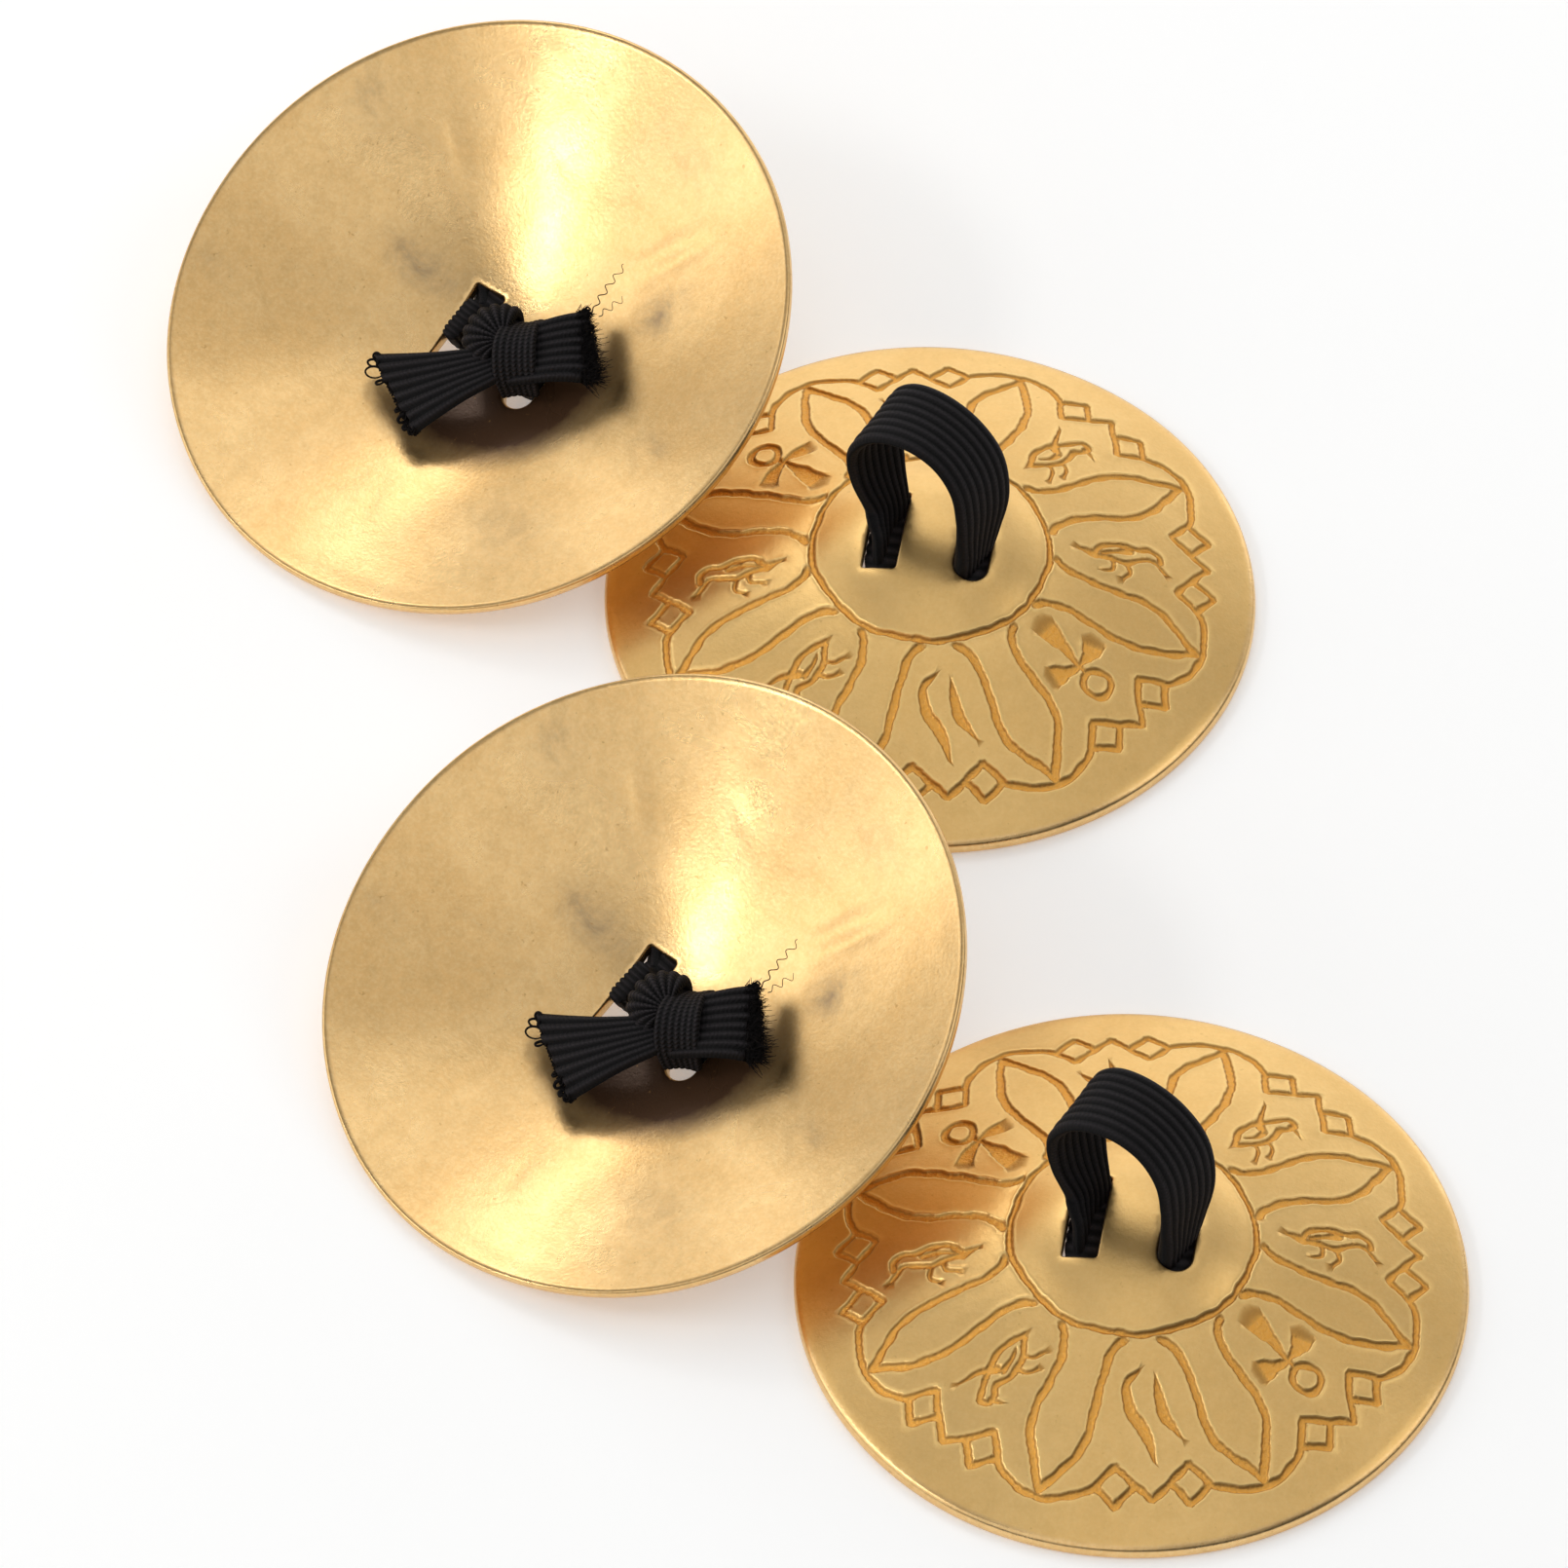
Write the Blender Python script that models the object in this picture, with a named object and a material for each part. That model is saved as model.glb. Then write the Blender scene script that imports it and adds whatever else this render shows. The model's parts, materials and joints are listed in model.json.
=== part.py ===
"""A set of four finger cymbals (zills): two pairs, each cymbal with an elastic finger strap.

Metres, +Z up. The set stands on z = 0, and the origin is the middle of its footprint.

Each cymbal is made in its own frame: the origin is the centre of the rim's open side, +Z goes
through the dome, +X runs from the square slot to the round-ended slot. A flat cymbal keeps +Z up.
A tilted cymbal lies hollow side up, so its own +Z points down and its own +Y points downhill.
"""

from math import atan2, cos, pi, radians, sin, sqrt, tan

import bmesh
import bpy
from mathutils import Matrix, Vector
from mathutils.geometry import interpolate_bezier

MM = 0.001
MERGE_DISTANCE = 0.002 * MM
SHARP_ANGLE = radians(35.0)

# Cymbal, a 58 mm zill.
RIM_RADIUS = 29.0 * MM
WALL = 1.2 * MM
LAND_INNER_RADIUS = 27.6 * MM
RIM_EDGE_HEIGHT = 1.2 * MM
DOME_RADIUS = 10.5 * MM
DOME_BASE_HEIGHT = 7.3 * MM
DOME_RISE = 2.7 * MM
PLATE_BOW = 1.12
LATHE_STEPS = 48
DOME_RINGS = 4
PLATE_RINGS = 4

# Strap slots through the dome.
SLOT_SPACING = 8.0 * MM
SLOT_WIDTH = 2.6 * MM
SLOT_LENGTH = 8.7 * MM
SLOT_END_STEPS = 5

# Elastic strap.
STRAP_THICKNESS = 1.3 * MM
STRAP_WIDTH = 7.0 * MM
LEG_WIDTH = 5.0 * MM

# Finger loop, in its own frame: origin on the line it flops about, +Z to its top.
PIVOT_HEIGHT = 8.9 * MM
LOOP_HEIGHT = 14.5 * MM
LOOP_FOOT_HANDLE = (8.6 * MM, 7.5 * MM)
LOOP_TOP_HANDLE = 5.4 * MM
LOOP_HALF_STEPS = 10
LOOP_SAMPLES = 100
LOOP_START = 0.16
FOOT_HALF_WIDTH = 0.5 * MM
FULL_WIDTH_DISTANCE = 8.0 * MM

# Knot inside the dome, with its two tails.
KNOT_LOW = 2.3 * MM
BAR_TOP = 6.7 * MM
BAR_WIDTH = 5.6 * MM
KNOT_CENTRE = (1.6 * MM, 0.6 * MM)
KNOT_RADII = (4.0 * MM, 3.3 * MM)
KNOT_SEGMENTS = 16
KNOT_RINGS = 8
KNOT_BELOW_BAR_TOP = 0.05 * MM
LEG_FOOT_IN_BAR = 0.2 * MM
LEG_TOP = PIVOT_HEIGHT + 0.9 * MM

# A tail runs from its root to its end, each (x, y, z), with its width at root and end.
TAIL_A = {"root": (0.2, 4.6, 4.0), "end": (-3.2, 9.6, 3.55), "widths": (4.4, 9.2)}
TAIL_B = {"root": (5.2, -1.9, 4.0), "end": (9.2, -5.6, 3.55), "widths": (5.4, 7.6)}
TAIL_STEPS = 4

# A flat cymbal's heading, and the turn of its loop about the cymbal's own +Z.
FLAT_HEADING = radians(-9.3)
FLAT_LOOP_TURN = radians(-14.0)

# Where each cymbal lies: its centre, its tilt, and its heading or the way its tilt runs down.
PLACES = {
    "left_middle": {"centre": (11.08, 26.96), "tilt": 0.0, "heading": FLAT_HEADING},
    "left_thumb": {"centre": (-29.68, 50.01), "tilt": radians(21.66), "downhill": radians(-133.5)},
    "right_middle": {"centre": (28.68, -49.22), "tilt": 0.0, "heading": FLAT_HEADING},
    "right_thumb": {"centre": (-13.72, -26.00), "tilt": radians(22.2), "downhill": radians(-138.6)},
}

BRASS = {"color": (0.83, 0.58, 0.25, 1.0), "metallic": 1.0, "roughness": 0.38}
ELASTIC = {"color": (0.012, 0.012, 0.014, 1.0), "metallic": 0.0, "roughness": 0.9}


def clear_scene():
    """Start from an empty scene."""
    for item in list(bpy.data.objects):
        bpy.data.objects.remove(item, do_unlink=True)


def make_material(name, look):
    """One Principled material."""
    material = bpy.data.materials.new(name)
    material.use_nodes = True
    shader = material.node_tree.nodes["Principled BSDF"]
    shader.inputs["Base Color"].default_value = look["color"]
    shader.inputs["Metallic"].default_value = look["metallic"]
    shader.inputs["Roughness"].default_value = look["roughness"]
    material.diffuse_color = look["color"]
    return material


def link_object(name, mesh, look, parent=None, matrix=None):
    """Add a named object with a material of its own, placed in its parent's frame."""
    item = bpy.data.objects.new(name, mesh)
    bpy.context.collection.objects.link(item)
    item.parent = parent
    if matrix is not None:
        item.matrix_local = matrix
    if not mesh.materials:
        mesh.materials.append(None)
    item.material_slots[0].link = "OBJECT"
    item.material_slots[0].material = make_material(name, look)
    return item


def dome_height(radius):
    """Height of the outer face over the dome, a spherical cap."""
    sphere = (DOME_RADIUS ** 2 + DOME_RISE ** 2) / (2.0 * DOME_RISE)
    return DOME_BASE_HEIGHT + sqrt(sphere ** 2 - radius ** 2) - (sphere - DOME_RISE)


def plate_height(radius):
    """Height of the outer face over the plate, a cone with a slight bow."""
    share = (radius - DOME_RADIUS) / (RIM_RADIUS - DOME_RADIUS)
    return DOME_BASE_HEIGHT * (1.0 - share ** PLATE_BOW) + RIM_EDGE_HEIGHT * share


def outer_points():
    """Radius and height down the outer face, from the apex to the rim."""
    dome = [DOME_RADIUS * i / DOME_RINGS for i in range(DOME_RINGS + 1)]
    step = (RIM_RADIUS - DOME_RADIUS) / PLATE_RINGS
    plate = [DOME_RADIUS + step * i for i in range(1, PLATE_RINGS + 1)]
    points = [(radius, dome_height(radius)) for radius in dome]
    return points + [(radius, plate_height(radius)) for radius in plate]


def inner_points():
    """Radius and height up the inner face, from the rim's flat land back to the axis."""
    wall = WALL / cos(atan2(DOME_BASE_HEIGHT, RIM_RADIUS - DOME_RADIUS))
    outer = [point for point in outer_points() if point[0] < LAND_INNER_RADIUS]
    inner = [(radius, height - wall) for radius, height in reversed(outer)]
    return [(RIM_RADIUS, 0.0), (LAND_INNER_RADIUS, 0.0)] + inner


def lathe(points, steps):
    """Turn a profile about Z into a closed mesh."""
    shape = bmesh.new()
    verts = [shape.verts.new((radius, 0.0, height)) for radius, height in points]
    edges = [shape.edges.new(pair) for pair in zip(verts, verts[1:])]
    bmesh.ops.spin(
        shape, geom=verts + edges, axis=(0, 0, 1), cent=(0, 0, 0), angle=2.0 * pi,
        steps=steps, use_merge=True,
    )
    bmesh.ops.remove_doubles(shape, verts=shape.verts, dist=MERGE_DISTANCE)
    return finish_mesh("turned", shape)


def finish_mesh(name, shape):
    """Close a bmesh into a mesh with its faces outward."""
    bmesh.ops.recalc_face_normals(shape, faces=shape.faces)
    mesh = bpy.data.meshes.new(name)
    shape.to_mesh(mesh)
    shape.free()
    mesh.shade_smooth()
    mesh.set_sharp_from_angle(angle=SHARP_ANGLE)
    return mesh


def prism(outline, low, high):
    """A closed prism over an outline in XY."""
    shape = bmesh.new()
    base = shape.faces.new([shape.verts.new((x, y, low)) for x, y in outline])
    top = bmesh.ops.extrude_face_region(shape, geom=[base])["geom"]
    moved = [part for part in top if isinstance(part, bmesh.types.BMVert)]
    bmesh.ops.translate(shape, verts=moved, vec=(0, 0, high - low))
    return finish_mesh("prism", shape)


def rectangle(centre, size):
    """Corners of a rectangle, anticlockwise."""
    half_x, half_y = size[0] / 2.0, size[1] / 2.0
    signs = ((-1, -1), (1, -1), (1, 1), (-1, 1))
    return [(centre[0] + a * half_x, centre[1] + b * half_y) for a, b in signs]


def stadium(centre, size):
    """Outline of a slot with round ends along Y."""
    radius = size[0] / 2.0
    straight = size[1] / 2.0 - radius
    outline = []
    for end in (1, -1):
        for i in range(SLOT_END_STEPS + 1):
            angle = pi * i / SLOT_END_STEPS + (0.0 if end > 0 else pi)
            x = centre[0] + radius * cos(angle)
            outline.append((x, centre[1] + end * straight + radius * sin(angle)))
    return outline


def combine(base_mesh, other_meshes, operation):
    """Boolean several meshes into one."""
    base = bpy.data.objects.new("base", base_mesh)
    bpy.context.collection.objects.link(base)
    others = []
    for mesh in other_meshes:
        other = bpy.data.objects.new("other", mesh)
        bpy.context.collection.objects.link(other)
        other.hide_render = True
        other.display_type = "WIRE"
        modifier = base.modifiers.new("combine", "BOOLEAN")
        modifier.operation = operation
        modifier.object = other
        others.append(other)
    graph = bpy.context.evaluated_depsgraph_get()
    result = bpy.data.meshes.new_from_object(base.evaluated_get(graph))
    for item in [base] + others:
        bpy.data.objects.remove(item, do_unlink=True)
    shape = bmesh.new()
    shape.from_mesh(result)
    bmesh.ops.remove_doubles(shape, verts=shape.verts, dist=MERGE_DISTANCE)
    bmesh.ops.dissolve_degenerate(shape, edges=shape.edges, dist=MERGE_DISTANCE)
    return finish_mesh("combined", shape)


def cymbal_mesh():
    """The brass cymbal: a dished disc with a dome and two strap slots."""
    disc = lathe(outer_points() + inner_points(), LATHE_STEPS)
    low, high = 0.0, DOME_BASE_HEIGHT + 2.0 * DOME_RISE
    size = (SLOT_WIDTH, SLOT_LENGTH)
    square_slot = prism(rectangle((-SLOT_SPACING / 2.0, 0.0), size), low, high)
    round_slot = prism(stadium((SLOT_SPACING / 2.0, 0.0), size), low, high)
    return combine(disc, [square_slot, round_slot], "DIFFERENCE")


def knot_mesh(loop_turn):
    """The knot: a rounded lump, the bar under the dome's web and the two legs through the slots."""
    radius_z = (BAR_TOP - KNOT_LOW) / 2.0
    lump = bmesh.new()
    bmesh.ops.create_uvsphere(lump, u_segments=KNOT_SEGMENTS, v_segments=KNOT_RINGS, radius=1.0)
    bmesh.ops.scale(lump, vec=(*KNOT_RADII, radius_z), verts=lump.verts)
    height = BAR_TOP - radius_z - KNOT_BELOW_BAR_TOP
    bmesh.ops.translate(lump, vec=(*KNOT_CENTRE, height), verts=lump.verts)
    half = SLOT_SPACING / 2.0
    bar_low = BAR_TOP - STRAP_THICKNESS
    bar = prism(rectangle((0.0, 0.0), (2.0 * half + STRAP_THICKNESS, BAR_WIDTH)), bar_low, BAR_TOP)
    legs = []
    for side in (-1, 1):
        centre = (side * half, side * half * tan(loop_turn))
        outline = rectangle(centre, (STRAP_THICKNESS, LEG_WIDTH))
        legs.append(prism(outline, bar_low + LEG_FOOT_IN_BAR, LEG_TOP))
    return combine(finish_mesh("lump", lump), [bar] + legs, "UNION")


def loft(rings):
    """Join equal rings of points into one closed tube with capped ends."""
    shape = bmesh.new()
    loops = [[shape.verts.new(point) for point in ring] for ring in rings]
    count = len(loops[0])
    for first, second in zip(loops, loops[1:]):
        for i in range(count):
            j = (i + 1) % count
            shape.faces.new((first[i], first[j], second[j], second[i]))
    shape.faces.new(reversed(loops[0]))
    shape.faces.new(loops[-1])
    return finish_mesh("loft", shape)


def band_ring(centre, across, out, width, thickness):
    """Four corners of a band's cross-section."""
    side = across * (width / 2.0)
    face = out * (thickness / 2.0)
    return [centre - side - face, centre + side - face, centre + side + face, centre - side + face]


def loop_centreline(foot):
    """Points over the finger loop's arch in its own XZ plane, from the left foot to the right one."""
    start = Vector((-foot, 0.0, 0.0))
    start_handle = Vector((-LOOP_FOOT_HANDLE[0], 0.0, LOOP_FOOT_HANDLE[1]))
    top_handle = Vector((-LOOP_TOP_HANDLE, 0.0, LOOP_HEIGHT))
    top = Vector((0.0, 0.0, LOOP_HEIGHT))
    dense = interpolate_bezier(start, start_handle, top_handle, top, LOOP_SAMPLES + 1)
    first = round(LOOP_START * LOOP_SAMPLES)
    left_over = LOOP_SAMPLES - first
    picks = [first + round(left_over * i / LOOP_HALF_STEPS) for i in range(LOOP_HALF_STEPS + 1)]
    left = [dense[i] for i in picks]
    right = [Vector((-point.x, 0.0, point.z)) for point in reversed(left[:-1])]
    return left + right


def loop_width(distance):
    """The band's width at a distance from the flop line: narrow feet, so it clears the dome."""
    share = min(1.0, distance / FULL_WIDTH_DISTANCE)
    return 2.0 * FOOT_HALF_WIDTH + (STRAP_WIDTH - 2.0 * FOOT_HALF_WIDTH) * share ** 2


def finger_loop_mesh(loop_turn):
    """The finger loop: a flat band over an arch, narrowing to its feet."""
    foot = SLOT_SPACING / 2.0 / cos(loop_turn)
    points = loop_centreline(foot)
    across = Vector((0.0, 1.0, 0.0))
    rings = []
    for i, point in enumerate(points):
        before = points[max(i - 1, 0)]
        after = points[min(i + 1, len(points) - 1)]
        out = across.cross(after - before).normalized() * -1.0
        width = loop_width(abs(point.z))
        rings.append(band_ring(point, across, out, width, STRAP_THICKNESS))
    return loft(rings)


def tail_mesh(tail):
    """One tail of the knot: a flat band that fans out to its cut end."""
    root = Vector(tail["root"]) * MM
    end = Vector(tail["end"]) * MM
    along = (end - root).normalized()
    across = Vector((0, 0, 1)).cross(along).normalized()
    out = along.cross(across)
    rings = []
    for i in range(TAIL_STEPS + 1):
        share = i / TAIL_STEPS
        width = (tail["widths"][0] + (tail["widths"][1] - tail["widths"][0]) * share) * MM
        rings.append(band_ring(root.lerp(end, share), across, out, width, STRAP_THICKNESS))
    return loft(rings)


def flat_matrix(place):
    """A flat cymbal stands on its rim, dome up."""
    x, y = (value * MM for value in place["centre"])
    return Matrix.Translation((x, y, 0.0)) @ Matrix.Rotation(place["heading"], 4, "Z")


def tilted_matrix(place):
    """A tilted cymbal lies hollow side up, on the low point of its rim and its folded strap."""
    x, y = (value * MM for value in place["centre"])
    tilt, azimuth = place["tilt"], place["downhill"]
    height = RIM_EDGE_HEIGHT * cos(tilt) + RIM_RADIUS * sin(tilt)
    downhill = Vector((cos(tilt) * cos(azimuth), cos(tilt) * sin(azimuth), -sin(tilt)))
    hollow = Vector((sin(tilt) * cos(azimuth), sin(tilt) * sin(azimuth), cos(tilt)))
    along_z = -hollow
    along_x = downhill.cross(along_z)
    turn = Matrix((along_x, downhill, along_z)).transposed().to_4x4()
    return Matrix.Translation((x, y, height)) @ turn


def add_cymbal(name, place, meshes):
    """One cymbal with its knot, tails and finger loop."""
    tilted = place["tilt"] > 0.0
    matrix = tilted_matrix(place) if tilted else flat_matrix(place)
    kind = "tilted" if tilted else "flat"
    loop_turn = 0.0 if tilted else FLAT_LOOP_TURN
    fold = pi / 2.0 - place["tilt"] if tilted else 0.0
    cymbal = link_object(name + "_cymbal", meshes["cymbal"], BRASS, matrix=matrix)
    link_object(name + "_strap_knot", meshes["knot_" + kind], ELASTIC, cymbal, Matrix.Identity(4))
    link_object(name + "_strap_tail_a", meshes["tail_a"], ELASTIC, cymbal, Matrix.Identity(4))
    link_object(name + "_strap_tail_b", meshes["tail_b"], ELASTIC, cymbal, Matrix.Identity(4))
    hinge = Matrix.Translation((0, 0, PIVOT_HEIGHT)) @ Matrix.Rotation(loop_turn, 4, "Z")
    folded = hinge @ Matrix.Rotation(fold, 4, "X")
    link_object(name + "_strap_loop", meshes["loop_" + kind], ELASTIC, cymbal, folded)


def main():
    """Build the set."""
    clear_scene()
    meshes = {
        "cymbal": cymbal_mesh(),
        "knot_flat": knot_mesh(FLAT_LOOP_TURN),
        "knot_tilted": knot_mesh(0.0),
        "loop_flat": finger_loop_mesh(FLAT_LOOP_TURN),
        "loop_tilted": finger_loop_mesh(0.0),
        "tail_a": tail_mesh(TAIL_A),
        "tail_b": tail_mesh(TAIL_B),
    }
    for name, place in PLACES.items():
        add_cymbal(name, place, meshes)


main()
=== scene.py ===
import json
import random
from math import atan2, ceil, cos, hypot, pi, radians, sin, tau

import bmesh
import bpy
import numpy as np
from mathutils import Matrix, Vector, noise
from mathutils.geometry import delaunay_2d_cdt


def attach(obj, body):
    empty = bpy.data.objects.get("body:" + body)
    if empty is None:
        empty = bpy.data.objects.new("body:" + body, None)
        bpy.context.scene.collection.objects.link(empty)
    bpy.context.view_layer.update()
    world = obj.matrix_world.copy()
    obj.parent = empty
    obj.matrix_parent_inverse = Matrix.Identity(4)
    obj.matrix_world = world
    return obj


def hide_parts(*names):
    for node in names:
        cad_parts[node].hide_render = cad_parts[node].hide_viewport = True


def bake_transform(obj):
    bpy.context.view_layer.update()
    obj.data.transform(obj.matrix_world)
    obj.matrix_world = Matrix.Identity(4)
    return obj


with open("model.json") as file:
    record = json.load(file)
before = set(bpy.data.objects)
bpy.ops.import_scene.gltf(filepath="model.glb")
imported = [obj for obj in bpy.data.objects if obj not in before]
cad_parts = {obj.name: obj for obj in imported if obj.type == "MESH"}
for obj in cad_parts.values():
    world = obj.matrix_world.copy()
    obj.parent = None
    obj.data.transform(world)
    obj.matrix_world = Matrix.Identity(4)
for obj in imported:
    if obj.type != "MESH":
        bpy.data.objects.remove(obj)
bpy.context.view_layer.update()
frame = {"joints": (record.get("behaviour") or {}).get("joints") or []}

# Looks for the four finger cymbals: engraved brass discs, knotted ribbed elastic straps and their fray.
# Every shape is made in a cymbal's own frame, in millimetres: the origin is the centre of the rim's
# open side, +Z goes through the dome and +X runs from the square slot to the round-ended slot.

MM = 0.001
NAMES = ("left_middle", "left_thumb", "right_middle", "right_thumb")
JOINTS = {joint["name"]: joint for joint in frame["joints"]}

# The cymbal's outer face, slots and loop pivot.
RIM_RADIUS = 29.0
RIM_EDGE = 1.2
DOME_RADIUS = 10.5
DOME_BASE = 7.3
DOME_RISE = 2.7
PLATE_BOW = 1.12
SLOT_X = 4.0
SLOT_HALF_WIDTH = 1.5
SLOT_HALF_LENGTH = 4.35
SLOT_CORNER = 0.25
SLOT_MARGIN = 0.36
PIVOT_HEIGHT = 8.9
# The inner face: an even bowl.
INNER_RIM = 28.72
INNER_TOP = 8.5
INNER_SLOPE = 0.422
INNER_REACH = 9.0
# Where the engraved face meets the rounded rim, how uneven both faces are, and the dip beside a slot.
ENGRAVED_EDGE = 28.35
UNEVEN_HEIGHT = 0.05
SLOT_DIP = 0.07
RIM_STEPS = 480
# The flat cymbals' loops fold about an axis turned from the line through their slots.
FLAT_LOOP_TURN = radians(-14.0)
# The two leaning discs sit turned a little about their own axes.
LEANING_DISC_TURN = radians(-8.0)

FLOOR_GLOW = 0.26

# Engraving.
PATTERN_TURN = 13.3
PANELS = 8
PANEL_STEP = 360.0 / PANELS
RING_RADIUS = 10.55
GROOVE_DEPTH = 0.28
GROOVE_SHOULDER = 0.18
GROOVE_LIP = 0.02
BURR_HEIGHT = 0.035
BURR_OFFSET = 0.1
BURR_WIDTH = 0.09

# Strap.
RIBS = 8
POINTS_PER_RIB = 6
STRAP_THICKNESS = 1.25
STRAP_THICKEST = 1.75
STRAP_AREA = 8.6
CUT_REACH = 1.2
SLOT_FILLING = 2.0 * SLOT_HALF_WIDTH - 0.02
FILLING_RISE = 0.6


# ---- frames

def cymbal_matrix(name):
    """A cymbal's own frame in the world, from the joints of its strap. Millimetres stay outside it."""
    fold = JOINTS[name + "_loop_fold"]
    along_z = Vector(JOINTS[name + "_strap_slide"]["axis"]).normalized()
    along_x = Vector(fold["axis"]).normalized()
    if is_flat(name):
        along_x = Matrix.Rotation(-FLAT_LOOP_TURN, 3, along_z) @ along_x
    else:
        along_x = -along_x
    along_y = along_z.cross(along_x).normalized()
    along_x = along_y.cross(along_z)
    origin = Vector(fold["pos_m"]) - along_z * (PIVOT_HEIGHT * MM)
    turn = Matrix((along_x, along_y, along_z)).transposed().to_4x4()
    return Matrix.Translation(origin) @ turn


def is_flat(name):
    """Whether a cymbal stands on its rim."""
    return name.endswith("_middle")


# ---- camera, light and floor

def add_camera():
    """The camera at the photograph's viewing angle."""
    target = Vector((-1.67, -0.66, 8.0)) * MM
    distance = 1300.0 * MM
    elevation = radians(51.05)
    roll = radians(0.75)
    data = bpy.data.cameras.new("camera")
    data.sensor_width = 36.0
    data.lens = 340.97
    data.clip_start = 0.05
    camera = bpy.data.objects.new("camera", data)
    turn = Matrix.Rotation(pi / 2.0 - elevation, 4, "X") @ Matrix.Rotation(roll, 4, "Z")
    camera.matrix_world = Matrix.Translation(target) @ turn @ Matrix.Translation((0.0, 0.0, distance))
    bpy.context.scene.collection.objects.link(camera)
    bpy.context.scene.camera = camera


def add_softbox(name, azimuth, elevation, distance, size, brightness):
    """A rectangular soft light that points at the middle of the set."""
    a, e = radians(azimuth), radians(elevation)
    direction = Vector((cos(a) * cos(e), sin(a) * cos(e), sin(e)))
    data = bpy.data.lights.new(name, "AREA")
    data.shape = "RECTANGLE"
    data.size, data.size_y = size
    data.energy = brightness * pi * size[0] * size[1]
    light = bpy.data.objects.new(name, data)
    light.location = direction * distance
    light.rotation_euler = direction.to_track_quat("Z", "Y").to_euler()
    bpy.context.scene.collection.objects.link(light)


# Name, azimuth, elevation, distance in metres, size in metres, brightness.
SOFTBOXES = (
    ("key", -166.0, 44.0, 0.9, (0.30, 0.13), 7.0),
    ("second_key", 111.0, 46.0, 1.0, (0.24, 0.13), 3.2),
    ("left_low", -168.0, 20.0, 1.2, (1.20, 0.55), 1.00),
    ("left_high", 168.0, 34.0, 1.2, (0.60, 0.70), 0.95),
    ("back_left", 140.0, 20.0, 1.2, (0.70, 0.70), 0.58),
    ("back_low", 88.0, 11.0, 1.2, (2.20, 0.50), 1.10),
    ("back", 104.0, 36.0, 1.2, (1.30, 0.75), 0.68),
    ("back_high", 88.0, 60.0, 1.2, (1.10, 0.60), 0.95),
    ("overhead", -60.0, 86.0, 1.2, (0.90, 0.90), 0.62),
    ("right_back", 42.0, 22.0, 1.2, (0.90, 0.70), 0.62),
    ("right", 0.0, 42.0, 1.2, (0.60, 0.60), 1.60),
    ("front_left", -122.0, 42.0, 1.2, (1.10, 0.90), 0.68),
    ("front", -75.0, 55.0, 1.2, (1.00, 0.90), 0.35),
)


def add_world(strength):
    """Even white light from all round."""
    world = bpy.data.worlds.new("studio")
    world.use_nodes = True
    background = world.node_tree.nodes["Background"]
    background.inputs["Color"].default_value = (1.0, 1.0, 1.0, 1.0)
    background.inputs["Strength"].default_value = strength
    bpy.context.scene.world = world


def add_floor():
    """A plain pale floor, lit a little from below like a light table."""
    half, height = 1.5, -0.00005
    mesh = bpy.data.meshes.new("floor")
    corners = [(-half, -half, height), (half, -half, height), (half, half, height), (-half, half, height)]
    mesh.from_pydata(corners, [], [(0, 1, 2, 3)])
    floor = bpy.data.objects.new("floor", mesh)
    bpy.context.scene.collection.objects.link(floor)
    n = Nodes("floor")
    n.fill(n.shader, Base_Color=(0.93, 0.93, 0.925, 1.0), Roughness=0.9)
    n.fill(n.shader, Emission_Color=(1.0, 1.0, 1.0, 1.0), Emission_Strength=FLOOR_GLOW)
    mesh.materials.append(n.material)


# ---- materials

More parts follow.
